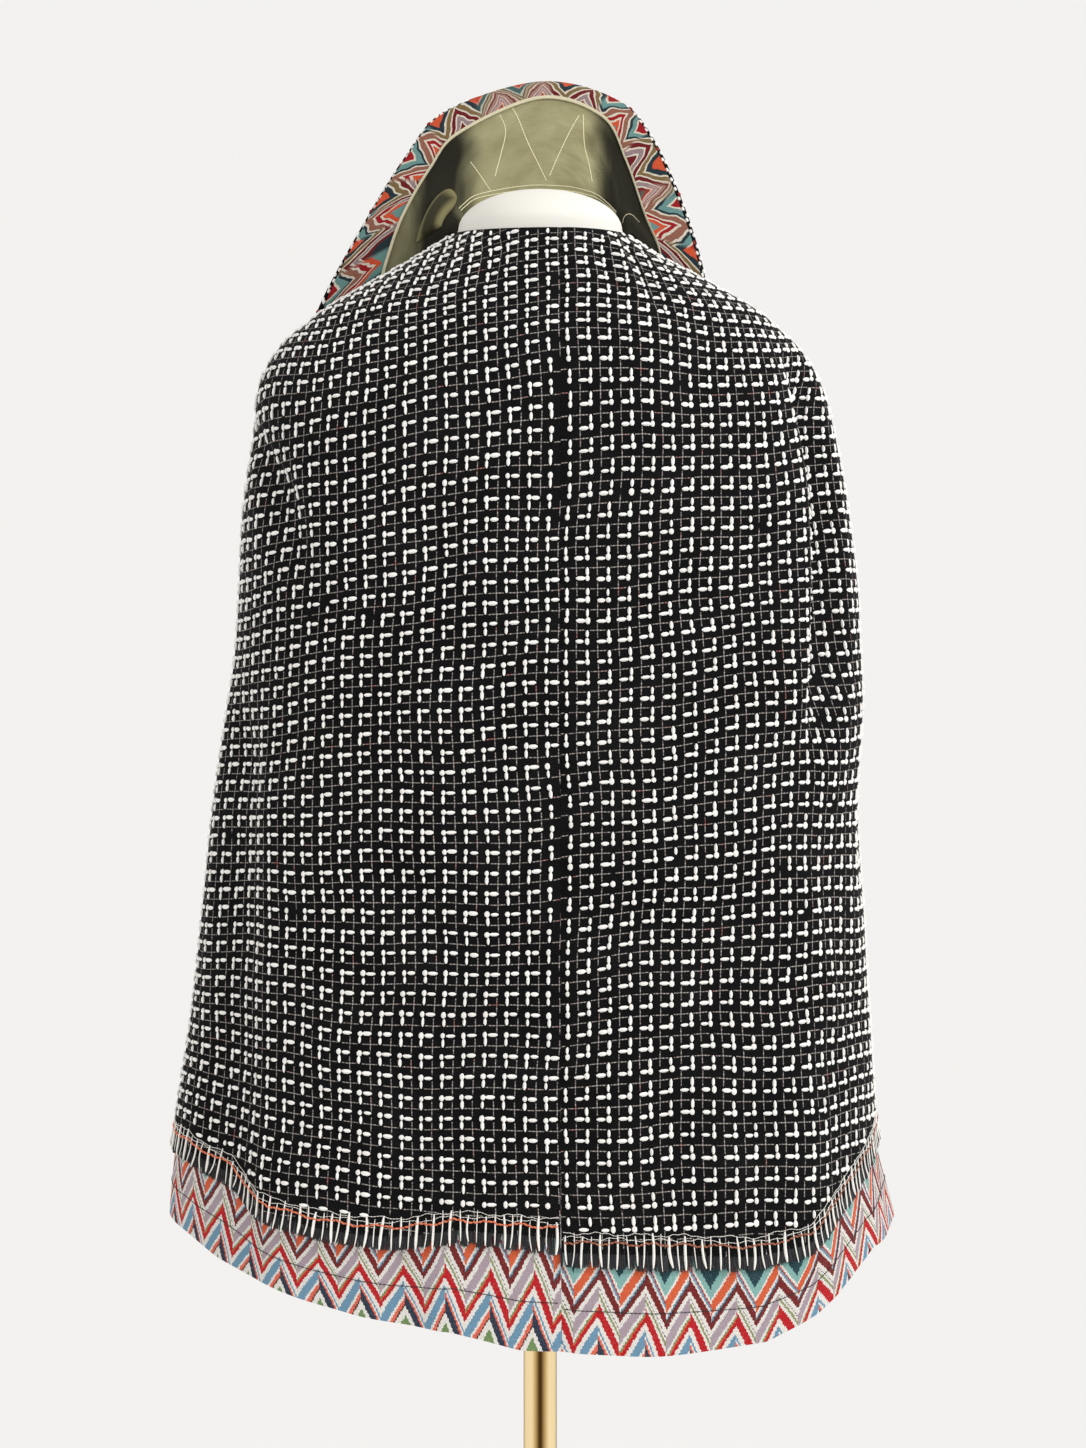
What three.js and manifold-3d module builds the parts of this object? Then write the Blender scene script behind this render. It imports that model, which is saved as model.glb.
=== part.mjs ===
// A hip-length tweed cape with a tall standing collar, on a limbless dress form and a brass pole stand.
// Millimetres, +Z up, origin on the floor under the pole. The cape's back faces -Y and its front +Y.
import * as THREE from "three";
import { mergeVertices } from "three/addons/utils/BufferGeometryUtils.js";
import Module from "manifold-3d";

const wasm = await Module();
wasm.setup();

// ---------------------------------------------------------------- driving dimensions
const TWEED = 2; // thickness of the tweed
const JACQUARD = 1.8; // thickness of the chevron jacquard
const TWILL = 1.4; // thickness of the olive cotton twill
const SEAM_GAP = 0.3; // distance between two pieces that are sewn together
const SEAM_X = 14; // the centre-back seam hangs this far to the right of the pole
const SHOULDER_CROWD = 1.6; // brings the rows of facets closer together over the shoulders
const FORM_GAP = 1.2; // least distance from the form to the cloth that rests on it

const SIDE_SEAM_LEFT = -97; // degrees round the body from the centre-back seam
const SIDE_SEAM_RIGHT = 97;
const TWEED_LENGTH = 713; // length of the tweed from the neckline, down the cloth
const FULL_LENGTH = 780; // the same, to the edge of the jacquard layer
const UNDERLAP = 48; // how far the jacquard layer reaches up behind the tweed
const LAYER_GAP = 0.9; // room between the tweed and the jacquard layer that hangs behind it

const FRINGE_STRIP = 3; // height of the firm edge that the frayed yarns hang from
const FRINGE_LENGTH = 9;
const FRINGE_PITCH = 9;
const YARN_ROOT = 0.65; // radius of a bunch of yarns at its root and at its tip
const YARN_TIP = 1.1;
const FRINGE_SPLAY = 3; // how far the tips stand out from the cloth

const POLE_RADIUS = 12;
const BASE_RADIUS = 170;
const BASE_HEIGHT = 14; // at the pole; the plate is a little lower at its rim
const BASE_RIM = 8;
const BASE_ROUND = 3; // the rounding of the plate's lower and upper edges
const FLANGE_RADIUS = 30; // the collar of brass that holds the pole on the base
const FLANGE_HEIGHT = 22;
const FLANGE_FOOT = 5; // height of its flat foot
const FLANGE_NECK = 5; // thickness of its sleeve round the pole
const FORM_BOTTOM = 748;
const NECK_TOP = 1457;
const NECK_DOME = 29; // height of the rounded cap on the neck

// The cape's outer face, ring by ring. "length" is measured down the cloth from the neckline. A ring has
// half sizes to the left, right, back and front, and its height at the sides, back and front. "square" is 2
// for an ellipse and more for a flatter back. "dipLeft" and "dipRight" say how suddenly the ring leaves its
// side height on the way to the back: small is sudden.
const BODY_RINGS = [
  { length: 0, left: 64, right: 63, back: 69, front: 71, zSide: 1424, zBack: 1421, zFront: 1414,
    square: 2, dipLeft: 0.9, dipRight: 0.9 },
  { length: 32, left: 91, right: 88, back: 79, front: 83, zSide: 1407.5, zBack: 1400, zFront: 1390,
    square: 2, dipLeft: 0.8, dipRight: 0.8 },
  { length: 70, left: 125, right: 119, back: 95, front: 97, zSide: 1387.5, zBack: 1372, zFront: 1360,
    square: 2.05, dipLeft: 0.75, dipRight: 0.75 },
  { length: 109, left: 158, right: 155, back: 111, front: 110, zSide: 1366.5, zBack: 1341, zFront: 1328,
    square: 2.1, dipLeft: 0.7, dipRight: 0.7 },
  { length: 144, left: 184, right: 182, back: 125, front: 123, zSide: 1347, zBack: 1304, zFront: 1292,
    square: 2.2, dipLeft: 0.7, dipRight: 0.7 },
  { length: 180, left: 201, right: 201, back: 135, front: 134, zSide: 1318, zBack: 1264, zFront: 1254,
    square: 2.3, dipLeft: 0.75, dipRight: 0.75 },
  { length: 222, left: 206, right: 212, back: 142, front: 142, zSide: 1277, zBack: 1220, zFront: 1212,
    square: 2.4, dipLeft: 0.8, dipRight: 0.8 },
  { length: 275, left: 213, right: 221, back: 147, front: 148, zSide: 1225, zBack: 1168, zFront: 1162,
    square: 2.5, dipLeft: 0.8, dipRight: 0.8 },
  { length: 337, left: 216, right: 228, back: 150, front: 152, zSide: 1162, zBack: 1108, zFront: 1104,
    square: 2.55, dipLeft: 0.8, dipRight: 0.8 },
  { length: 409, left: 221, right: 232, back: 153, front: 157, zSide: 1090, zBack: 1038, zFront: 1036,
    square: 2.6, dipLeft: 0.75, dipRight: 0.75 },
  { length: 481, left: 231, right: 228, back: 156, front: 162, zSide: 1018, zBack: 968, zFront: 968,
    square: 2.6, dipLeft: 0.7, dipRight: 0.65 },
  { length: 553, left: 239, right: 231, back: 160, front: 167, zSide: 946, zBack: 897, zFront: 900,
    square: 2.6, dipLeft: 0.65, dipRight: 0.55 },
  { length: 625, left: 247, right: 235, back: 166, front: 173, zSide: 874, zBack: 824, zFront: 830,
    square: 2.6, dipLeft: 0.6, dipRight: 0.45 },
  { length: 713, left: 261, right: 242, back: 176, front: 181, zSide: 785, zBack: 733, zFront: 742,
    square: 2.6, dipLeft: 0.55, dipRight: 0.38 },
  { length: 780, left: 266, right: 256, back: 184, front: 188, zSide: 724, zBack: 654, zFront: 684,
    square: 2.6, dipLeft: 0.8, dipRight: 0.6 },
];

// Folds of the hanging cloth: a soft trough (negative depth) or ridge that runs from one angle and length
// down the cloth to another, with its half width in degrees.
const FOLDS = [
  { fromAngle: 73, fromLength: 130, toAngle: 60, toLength: 440, halfWidth: 8, depth: -16 },
  { fromAngle: 60, fromLength: 170, toAngle: 50, toLength: 420, halfWidth: 8, depth: 5 },
  { fromAngle: -76, fromLength: 190, toAngle: -55, toLength: 330, halfWidth: 9, depth: -8 },
  { fromAngle: -72, fromLength: 380, toAngle: -60, toLength: 800, halfWidth: 8, depth: -8 },
  { fromAngle: -80, fromLength: 360, toAngle: -74, toLength: 860, halfWidth: 9, depth: 4 },
  { fromAngle: -16, fromLength: 430, toAngle: -4, toLength: 600, halfWidth: 9, depth: -4 },
  { fromAngle: 22, fromLength: 560, toAngle: 34, toLength: 860, halfWidth: 9, depth: -6 },
  { fromAngle: 50, fromLength: 560, toAngle: 52, toLength: 900, halfWidth: 10, depth: 6 },
  { fromAngle: -34, fromLength: 600, toAngle: -30, toLength: 900, halfWidth: 8, depth: -5 },
  { fromAngle: 128, fromLength: 190, toAngle: 124, toLength: 560, halfWidth: 11, depth: -12 },
  { fromAngle: 146, fromLength: 330, toAngle: 142, toLength: 900, halfWidth: 10, depth: 8 },
  { fromAngle: 165, fromLength: 420, toAngle: 168, toLength: 900, halfWidth: 10, depth: -11 },
  { fromAngle: -168, fromLength: 340, toAngle: -165, toLength: 900, halfWidth: 11, depth: 7 },
  { fromAngle: -146, fromLength: 240, toAngle: -142, toLength: 900, halfWidth: 12, depth: -13 },
  { fromAngle: -122, fromLength: 200, toAngle: -118, toLength: 900, halfWidth: 11, depth: 6 },
  { fromAngle: 108, fromLength: 420, toAngle: 106, toLength: 900, halfWidth: 10, depth: -6 },
];
const FOLD_FADE = 70; // length over which a fold starts and ends

// The tweed's frayed edge and the longer layer's edge were cut unevenly: how much further down the cloth they
// lie at an angle than TWEED_LENGTH and FULL_LENGTH say. The two back panels don't match at their seam.
const EDGE_DROPS = [
  { angle: -120, tweed: 0, hem: 0 },
  { angle: -97, tweed: 0, hem: -10 },
  { angle: -84, tweed: -3, hem: -14 },
  { angle: -72, tweed: -8, hem: -12 },
  { angle: -64, tweed: -5, hem: -9 },
  { angle: -57, tweed: 8, hem: -8 },
  { angle: -46, tweed: 9, hem: -6 },
  { angle: -34, tweed: 8, hem: -6 },
  { angle: -22, tweed: 0, hem: -7 },
  { angle: -8, tweed: 2, hem: 0 },
  { angle: -0.001, tweed: 4, hem: 0 },
  { angle: 0, tweed: 12, hem: 0 },
  { angle: 20, tweed: 14, hem: 5 },
  { angle: 40, tweed: 18, hem: 6 },
  { angle: 49, tweed: 14, hem: -2 },
  { angle: 56, tweed: -2, hem: -14 },
  { angle: 66, tweed: -14, hem: -19 },
  { angle: 77, tweed: -14, hem: -6 },
  { angle: 90, tweed: -2, hem: 0 },
  { angle: 120, tweed: 0, hem: 0 },
];
const DROP_FROM = 560; // the length at which the cloth starts to hang unevenly

// The dress form, section by section from the bottom: half width, depth to the back and to the front.
const FORM_SECTIONS = [
  { z: 748, halfWidth: 138, back: 100, front: 96, square: 2.2 },
  { z: 800, halfWidth: 158, back: 116, front: 104, square: 2.2 },
  { z: 870, halfWidth: 166, back: 120, front: 106, square: 2.2 },
  { z: 950, halfWidth: 148, back: 100, front: 98, square: 2.2 },
  { z: 1040, halfWidth: 121, back: 83, front: 90, square: 2.2 },
  { z: 1120, halfWidth: 132, back: 88, front: 100, square: 2.2 },
  { z: 1200, halfWidth: 152, back: 103, front: 118, square: 2.3 },
  { z: 1260, halfWidth: 172, back: 113, front: 122, square: 2.4 },
  { z: 1305, halfWidth: 184, back: 112, front: 110, square: 2.4 },
  { z: 1334, halfWidth: 184, back: 105, front: 96, square: 2.3 },
  { z: 1345, halfWidth: 177, back: 100, front: 89, square: 2.2 },
  { z: 1365, halfWidth: 157, back: 90, front: 80, square: 2.1 },
  { z: 1385, halfWidth: 124, back: 77, front: 71, square: 2 },
  { z: 1404, halfWidth: 88, back: 66, front: 63, square: 2 },
  { z: 1418, halfWidth: 64, back: 61, front: 60, square: 2 },
  { z: 1428, halfWidth: 59, back: 59, front: 59, square: 2 },
];

// The collar, station by station from its left end round the front to its right end: "angle" is where it
// leaves the neckline, "stand" the top of the part that wraps the neck, "mid" the edge of the olive lining
// and "rim" the collar's free edge.
const COLLAR_STATIONS = [
  { angle: -97, standX: -68.5, standY: 13.5, standZ: 1430, midX: -117, midY: 30, midZ: 1390,
    rimX: -170, rimY: 38, rimZ: 1352.5 },
  { angle: -104, standX: -68, standY: 16, standZ: 1434, midX: -111, midY: 31, midZ: 1409,
    rimX: -160, rimY: 34, rimZ: 1381 },
  { angle: -116, standX: -64, standY: 26, standZ: 1443, midX: -100, midY: 40, midZ: 1442,
    rimX: -137, rimY: 45, rimZ: 1427 },
  { angle: -132, standX: -57, standY: 42, standZ: 1451, midX: -81, midY: 60, midZ: 1481,
    rimX: -102, rimY: 68, rimZ: 1490 },
  { angle: -150, standX: -41, standY: 58, standZ: 1459, midX: -61, midY: 78, midZ: 1510,
    rimX: -70, rimY: 90, rimZ: 1531 },
  { angle: -180, standX: 0, standY: 70, standZ: 1466, midX: 0, midY: 93, midZ: 1539,
    rimX: 0, rimY: 110, rimZ: 1555 },
  { angle: -211, standX: 37, standY: 60, standZ: 1461, midX: 46, midY: 85, midZ: 1524,
    rimX: 58, rimY: 99, rimZ: 1540 },
  { angle: -228, standX: 52, standY: 45, standZ: 1454, midX: 63, midY: 66, midZ: 1488,
    rimX: 85, rimY: 77, rimZ: 1506 },
  { angle: -244, standX: 61, standY: 29, standZ: 1446, midX: 76, midY: 42, midZ: 1443,
    rimX: 107, rimY: 49, rimZ: 1450 },
  { angle: -256, standX: 66, standY: 15, standZ: 1436, midX: 84, midY: 27, midZ: 1420,
    rimX: 119, rimY: 31, rimZ: 1405 },
  { angle: -263, standX: 68.5, standY: 13.5, standZ: 1430, midX: 90, midY: 27, midZ: 1406,
    rimX: 121, rimY: 34, rimZ: 1386 },
];
const STAND = 1; // places across the collar: 0 is its seam, then the stand, the lining's edge and the rim
const LINING_EDGE = 2;
const RIM = 3;
const FACING_SET_BACK = 0.09; // the facing stops this much of a place short of the rim
const COLLAR_RISE = 2; // height of the collar's lower edge above the neckline that it is sewn to
const PIPING_HALF_WIDTH = 0.045;
const PIPING_THICK = 1;
const LINING_FROM = 0.1;
const TAB_STATIONS = [0.9, 2.95]; // the small fold of twill inside the collar, at its left
const TAB_MIDDLE = 1.3; // its place across the collar, and half its width there
const TAB_HALF_WIDTH = 0.22;
const TAB_ROUND_FROM = 2.1; // the station where its round end starts
const TAB_ROUND = 0.85; // 1 would bring the round end to a point
const TAB_EDGE = 1.2;
const TAB_BULGE = 5;

// ---------------------------------------------------------------- colours
const CHARCOAL_TWEED = new THREE.MeshStandardMaterial({ color: 0x3a3a3d, roughness: 0.9 });
const CHEVRON = new THREE.MeshStandardMaterial({ color: 0xb9736a, roughness: 0.85 });
const OLIVE = new THREE.MeshStandardMaterial({ color: 0x837b56, roughness: 0.85 });
const CREAM = new THREE.MeshStandardMaterial({ color: 0xd8cfae, roughness: 0.8 });
const FORM_WHITE = new THREE.MeshStandardMaterial({ color: 0xf4f2ec, roughness: 0.7 });
const BRASS = new THREE.MeshStandardMaterial({ color: 0xb08d4c, roughness: 0.25, metalness: 1 });

// ---------------------------------------------------------------- smooth tables
// The value of a column at x on the smooth curve through the rows of a table, which are sorted by "key".
function tableValue(rows, key, column, x) {
  const last = rows.length - 1;
  let i = 0;
  while (i < last - 1 && x > rows[i + 1][key]) i += 1;
  const slope = (k) => {
    const before = rows[Math.max(k - 1, 0)];
    const after = rows[Math.min(k + 1, last)];
    return (after[column] - before[column]) / (after[key] - before[key]);
  };
  const start = rows[i];
  const end = rows[i + 1];
  const span = end[key] - start[key];
  const t = (x - start[key]) / span;
  if (t > 1) return end[column] + slope(last) * (x - end[key]);
  const t2 = t * t;
  const t3 = t2 * t;
  return (
    (2 * t3 - 3 * t2 + 1) * start[column] +
    (t3 - 2 * t2 + t) * span * slope(i) +
    (3 * t2 - 2 * t3) * end[column] +
    (t3 - t2) * span * slope(i + 1)
  );
}

// ---------------------------------------------------------------- the dress form's shape
// How far a point lies outside the form's section at its own height, as a share of the section's size.
function outsideForm(point) {
  const z = THREE.MathUtils.clamp(point.z, FORM_BOTTOM, NECK_TOP - NECK_DOME);
  const section = (column) => tableValue(FORM_SECTIONS, "z", column, z);
  const square = section("square");
  const depth = point.y < 0 ? section("back") : section("front");
  const across = (Math.abs(point.x) / section("halfWidth")) ** square;
  const through = (Math.abs(point.y) / depth) ** square;
  return (across + through) ** (1 / square) - 1;
}

// Moves a point straight out of the form until it is at least "clearance" away from it.
function liftOffForm(point, clearance) {
  const step = 0.5;
  for (let pass = 0; pass < 4; pass += 1) {
    const slope = new THREE.Vector3(
      outsideForm(point.clone().setX(point.x + step)) - outsideForm(point.clone().setX(point.x - step)),
      outsideForm(point.clone().setY(point.y + step)) - outsideForm(point.clone().setY(point.y - step)),
      outsideForm(point.clone().setZ(point.z + step)) - outsideForm(point.clone().setZ(point.z - step)),
    ).divideScalar(2 * step);
    const distance = outsideForm(point) / slope.length();
    if (distance >= clearance) return point;
    point.addScaledVector(slope.normalize(), clearance - distance);
  }
  return point;
}

// ---------------------------------------------------------------- the cape's surface
function foldDepth(angle, length) {
  let depth = 0;
  for (const fold of FOLDS) {
    const along = (length - fold.fromLength) / (fold.toLength - fold.fromLength);
    const centre = THREE.MathUtils.lerp(fold.fromAngle, fold.toAngle, THREE.MathUtils.clamp(along, 0, 1));
    const turn = THREE.MathUtils.euclideanModulo(angle - centre + 180, 360) - 180;
    const across = Math.abs(turn) / fold.halfWidth;
    if (across >= 1) continue;
    const start = THREE.MathUtils.smoothstep(length, fold.fromLength, fold.fromLength + FOLD_FADE);
    const end = 1 - THREE.MathUtils.smoothstep(length, fold.toLength - FOLD_FADE, fold.toLength);
    depth += fold.depth * start * end * (1 - across ** 2) ** 2;
  }
  return depth;
}

// How much further down the cloth a point lies than its length says. It grows towards the tweed's edge, and
// from there turns into the longer layer's own amount.
function edgeDrop(angle, length) {
  const turn = THREE.MathUtils.euclideanModulo(angle + 180, 360) - 180;
  const next = EDGE_DROPS.findIndex((row) => row.angle > turn);
  if (next < 1) return 0;
  const [before, after] = [EDGE_DROPS[next - 1], EDGE_DROPS[next]];
  const share = (turn - before.angle) / (after.angle - before.angle);
  const nearHem = THREE.MathUtils.smoothstep(length, TWEED_LENGTH, FULL_LENGTH);
  const nearTweedEdge = THREE.MathUtils.smoothstep(length, DROP_FROM, TWEED_LENGTH) - nearHem;
  const tweed = THREE.MathUtils.lerp(before.tweed, after.tweed, share);
  return tweed * nearTweedEdge + THREE.MathUtils.lerp(before.hem, after.hem, share) * nearHem;
}

// A point of the cape's outer face: "angle" in degrees from the centre-back seam, positive to the right,
// and "length" down the cloth from the neckline.
function capePoint(angle, length) {
  const hanging = length + edgeDrop(angle, length);
  const ring = (column) => tableValue(BODY_RINGS, "length", column, hanging);
  const turn = THREE.MathUtils.degToRad(angle);
  const sine = Math.sin(turn);
  const cosine = Math.cos(turn);
  const square = ring("square");
  const halfWidth = sine > 0 ? ring("right") - SEAM_X : ring("left") + SEAM_X;
  const depth = cosine > 0 ? ring("back") : ring("front");
  const unit = (Math.abs(sine) / halfWidth) ** square + (Math.abs(cosine) / depth) ** square;
  const radius = unit ** (-1 / square) + foldDepth(angle, length);
  const sudden = sine > 0 ? ring("dipRight") : ring("dipLeft");
  const dip = (1 - Math.exp(-((cosine / sudden) ** 2))) / (1 - Math.exp(-(sudden ** -2)));
  const zEnd = cosine > 0 ? ring("zBack") : ring("zFront");
  const z = THREE.MathUtils.lerp(ring("zSide"), zEnd, dip);
  const point = new THREE.Vector3(SEAM_X + radius * sine, -radius * cosine, z);
  return liftOffForm(point, TWEED + FORM_GAP);
}

// ---------------------------------------------------------------- the collar's surface
// The point of the neckline that the collar's seam lies on, just above the cape's own edge.
function collarSeamPoint(angle) {
  const point = capePoint(angle, 0);
  const inward = new THREE.Vector3(-point.x, -point.y, 0).setLength(TWEED / 2);
  return point.add(inward).setZ(point.z + COLLAR_RISE);
}

// A point between the collar's tweed and its inner layers: "station" runs from the left end to the right
// end, and "place" from the seam to the rim.
function collarPoint(station, place) {
  const rows = COLLAR_STATIONS.map((row, index) => ({ ...row, index }));
  const at = (column) => tableValue(rows, "index", column, station);
  const seam = collarSeamPoint(at("angle"));
  const across = [
    { place: 0, x: seam.x, y: seam.y, z: seam.z },
    { place: STAND, x: at("standX"), y: at("standY"), z: at("standZ") },
    { place: LINING_EDGE, x: at("midX"), y: at("midY"), z: at("midZ") },
    { place: RIM, x: at("rimX"), y: at("rimY"), z: at("rimZ") },
  ];
  const value = (column) => tableValue(across, "place", column, place);
  return new THREE.Vector3(value("x"), value("y"), value("z"));
}

// ---------------------------------------------------------------- making solids
// Small steps along each surface, for its slopes: degrees and millimetres, or stations and shares.
const STEPS = new Map([
  [capePoint, { a: 0.6, b: 4 }],
  [collarPoint, { a: 0.04, b: 0.03 }],
  [tabPoint, { a: 0.04, b: 0.1 }],
]);

// A surface's outward normal from two small steps along it.
function normalAt(surface, a, b) {
  const steps = STEPS.get(surface);
  const alongA = surface(a + steps.a, b).sub(surface(a - steps.a, b));
  const alongB = surface(a, b + steps.b).sub(surface(a, b - steps.b));
  return alongB.cross(alongA).normalize();
}

// Evenly spread values from one number to another; "crowd" above 1 brings them closer near the first.
function spread(from, to, count, crowd = 1) {
  return Array.from({ length: count + 1 }, (_, k) => THREE.MathUtils.lerp(from, to, (k / count) ** crowd));
}

// A closed wall over a patch of a surface. The patch lists the values of a and of b that its grid is made
// at; its two faces are the surface there, moved along its normal by inner(a, b) and outer(a, b).
function wallGeometry(surface, patch, inner, outer) {
  const columns = patch.a.length - 1;
  const rows = patch.b.length - 1;
  const positions = [];
  for (const depth of [outer, inner]) {
    for (const a of patch.a) {
      for (const b of patch.b) {
        const normal = normalAt(surface, a, b);
        positions.push(...surface(a, b).addScaledVector(normal, depth(a, b)));
      }
    }
  }
  const faceSize = (columns + 1) * (rows + 1);
  const at = (i, j) => i * (rows + 1) + j;
  const index = [];
  for (let i = 0; i < columns; i += 1) {
    for (let j = 0; j < rows; j += 1) {
      const [p, down, across, far] = [at(i, j), at(i, j + 1), at(i + 1, j), at(i + 1, j + 1)];
      index.push(p, down, across, across, down, far);
      for (const k of [p, across, down, across, far, down]) index.push(k + faceSize);
    }
  }
  const edge = [];
  for (let j = 0; j < rows; j += 1) edge.push(at(0, j));
  for (let i = 0; i < columns; i += 1) edge.push(at(i, rows));
  for (let j = rows; j > 0; j -= 1) edge.push(at(columns, j));
  for (let i = columns; i > 0; i -= 1) edge.push(at(i, 0));
  edge.forEach((p, k) => {
    const q = edge[(k + 1) % edge.length];
    index.push(q, p, p + faceSize, q, p + faceSize, q + faceSize);
  });
  const geometry = new THREE.BufferGeometry();
  geometry.setAttribute("position", new THREE.Float32BufferAttribute(positions, 3));
  geometry.setIndex(index);
  return geometry;
}

// A wall of even thickness between two distances from its surface.
function evenWall(surface, patch, innerDistance, outerDistance) {
  return wallGeometry(surface, patch, () => innerDistance, () => outerDistance);
}

function toManifold(geometry) {
  const bare = geometry.clone();
  bare.deleteAttribute("normal");
  bare.deleteAttribute("uv");
  const merged = mergeVertices(bare, 1e-3);
  const triVerts = new Uint32Array(merged.index.array);
  const vertProperties = merged.attributes.position.array;
  return new wasm.Manifold(new wasm.Mesh({ numProp: 3, vertProperties, triVerts }));
}

function fromManifold(solid) {
  const { vertProperties, triVerts } = solid.getMesh();
  const geometry = new THREE.BufferGeometry();
  geometry.setAttribute("position", new THREE.BufferAttribute(vertProperties, 3));
  geometry.setIndex(new THREE.BufferAttribute(triVerts, 1));
  return geometry;
}

const cape = new THREE.Group();

function addMesh(name, geometry, material) {
  const mesh = new THREE.Mesh(geometry, material);
  mesh.name = name;
  cape.add(mesh);
}

// ---------------------------------------------------------------- the panels round the body
const HALF_SEAM = SEAM_GAP / 2 / 1.6; // half a seam's gap, in degrees round the narrowest part
const PANELS = [
  { name: "back_left", from: SIDE_SEAM_LEFT, to: 0, columns: 22, rows: 20 },
  { name: "back_right", from: 0, to: SIDE_SEAM_RIGHT, columns: 22, rows: 20 },
  { name: "front", from: SIDE_SEAM_RIGHT, to: 360 + SIDE_SEAM_LEFT, columns: 28, rows: 17 },
];

function panelPatch(panel, lengths) {
  return { a: spread(panel.from + HALF_SEAM, panel.to - HALF_SEAM, panel.columns), b: lengths };
}

function addTweedPanel(panel) {
  const patch = panelPatch(panel, spread(0, TWEED_LENGTH, panel.rows, SHOULDER_CROWD));
  addMesh(panel.name, evenWall(capePoint, patch, -TWEED, 0), CHARCOAL_TWEED);
}

function addHemLayer(panel) {
  const patch = panelPatch(panel, spread(TWEED_LENGTH - UNDERLAP, FULL_LENGTH, 4));
  const outer = -TWEED - LAYER_GAP;
  addMesh(`hem_${panel.name}`, evenWall(capePoint, patch, outer - JACQUARD, outer), CHEVRON);
}

// A point inside the firm edge's flat facets, a share u of the way along it.
function stripPoint(patch, u) {
  const columns = patch.a.length - 1;
  const column = Math.min(Math.floor(u * columns), columns - 1);
  const middle = (patch.b[0] + patch.b[1]) / 2;
  const ends = [column, column + 1].map((i) => {
    const normal = normalAt(capePoint, patch.a[i], middle);
    return capePoint(patch.a[i], middle).addScaledVector(normal, -TWEED / 2);
  });
  return ends[0].lerp(ends[1], u * columns - column);
}

// One bunch of frayed yarns, from its root in the strip to its tip.
function yarnBunch(patch, u, number) {
  const angle = THREE.MathUtils.lerp(patch.a[0], patch.a[patch.a.length - 1], u);
  const root = stripPoint(patch, u);
  const normal = normalAt(capePoint, angle, TWEED_LENGTH);
  const sway = 2.2 * Math.sin(number * 2.4) + 1.3 * Math.sin(number * 5.1);
  const splay = FRINGE_SPLAY + 1.5 * Math.sin(number * 3.7);
  const reach = FRINGE_LENGTH + 1.2 * Math.sin(number * 1.9);
  const along = capePoint(angle + 1, TWEED_LENGTH).sub(capePoint(angle - 1, TWEED_LENGTH)).normalize();
  const tip = capePoint(angle, TWEED_LENGTH + reach);
  tip.addScaledVector(normal, splay - TWEED).addScaledVector(along, sway);
  const hang = tip.clone().sub(root);
  const yarn = new THREE.CylinderGeometry(YARN_TIP, YARN_ROOT, hang.length(), 3, 1);
  const upright = new THREE.Vector3(0, 1, 0);
  yarn.applyQuaternion(new THREE.Quaternion().setFromUnitVectors(upright, hang.clone().normalize()));
  const middle = root.lerp(tip, 0.5);
  return yarn.translate(middle.x, middle.y, middle.z);
}

function addFringe(panel) {
  const top = TWEED_LENGTH + SEAM_GAP;
  const patch = panelPatch(panel, [top, top + FRINGE_STRIP]);
  let solid = toManifold(evenWall(capePoint, patch, -TWEED, 0));
  const span = capePoint(panel.from, TWEED_LENGTH);
  let width = 0;
  for (let angle = panel.from + 1; angle <= panel.to; angle += 1) {
    const next = capePoint(angle, TWEED_LENGTH);
    width += next.distanceTo(span);
    span.copy(next);
  }
  const bunches = Math.round(width / FRINGE_PITCH);
  for (let k = 0; k < bunches; k += 1) {
    solid = solid.add(toManifold(yarnBunch(patch, (k + 0.5) / bunches, k)));
  }
  addMesh(`fringe_${panel.name}`, fromManifold(solid), CHARCOAL_TWEED);
}

for (const panel of PANELS) {
  addTweedPanel(panel);
  addHemLayer(panel);
  addFringe(panel);
}

// ---------------------------------------------------------------- the collar
const LAST_STATION = COLLAR_STATIONS.length - 1;
const LINING_OUTER = -2 * SEAM_GAP;
const SEAM_PLACE = 0.012; // half a seam's gap across the collar

const END_INSET = 0.07; // the inner layers stop this much of a station short of the shell's ends
const COLLAR_COLUMNS = 30;
const COLLAR_PLACES = [0, 0.5, 1, 1.5, 2, 2.5, 3]; // the rows of facets that the collar's layers share

// The shell's columns of facets, with the two end ones moved in by "inset".
function collarStations(inset) {
  const stations = spread(0, LAST_STATION, COLLAR_COLUMNS);
  stations[0] = inset;
  stations[COLLAR_COLUMNS] = LAST_STATION - inset;
  return stations;
}

// One layer of the collar between two places, with the shared rows of facets that lie between them.
function addCollarLayer(name, fromPlace, toPlace, inner, outer, material) {
  const between = COLLAR_PLACES.filter((place) => place > fromPlace && place < toPlace);
  const patch = { a: collarStations(END_INSET), b: [fromPlace, ...between, toPlace] };
  addMesh(name, evenWall(collarPoint, patch, inner, outer), material);
}

function addCollar() {
  const shell = { a: collarStations(0), b: COLLAR_PLACES };
  addMesh("collar_shell", evenWall(collarPoint, shell, 0, TWEED), CHARCOAL_TWEED);
  const liningTo = LINING_EDGE - SEAM_PLACE;
  addCollarLayer("collar_lining", LINING_FROM, liningTo, LINING_OUTER - TWILL, LINING_OUTER, OLIVE);
  const facingFrom = LINING_EDGE + SEAM_PLACE;
  const facingTo = RIM - FACING_SET_BACK;
  const facingBack = LINING_OUTER - JACQUARD;
  addCollarLayer("collar_facing", facingFrom, facingTo, facingBack, LINING_OUTER, CHEVRON);
  const pipingFrom = LINING_EDGE - PIPING_HALF_WIDTH;
  const pipingTo = LINING_EDGE + PIPING_HALF_WIDTH;
  const pipingOuter = facingBack - SEAM_GAP;
  addCollarLayer("collar_piping", pipingFrom, pipingTo, pipingOuter - PIPING_THICK, pipingOuter, CREAM);
}
addCollar();

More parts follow.
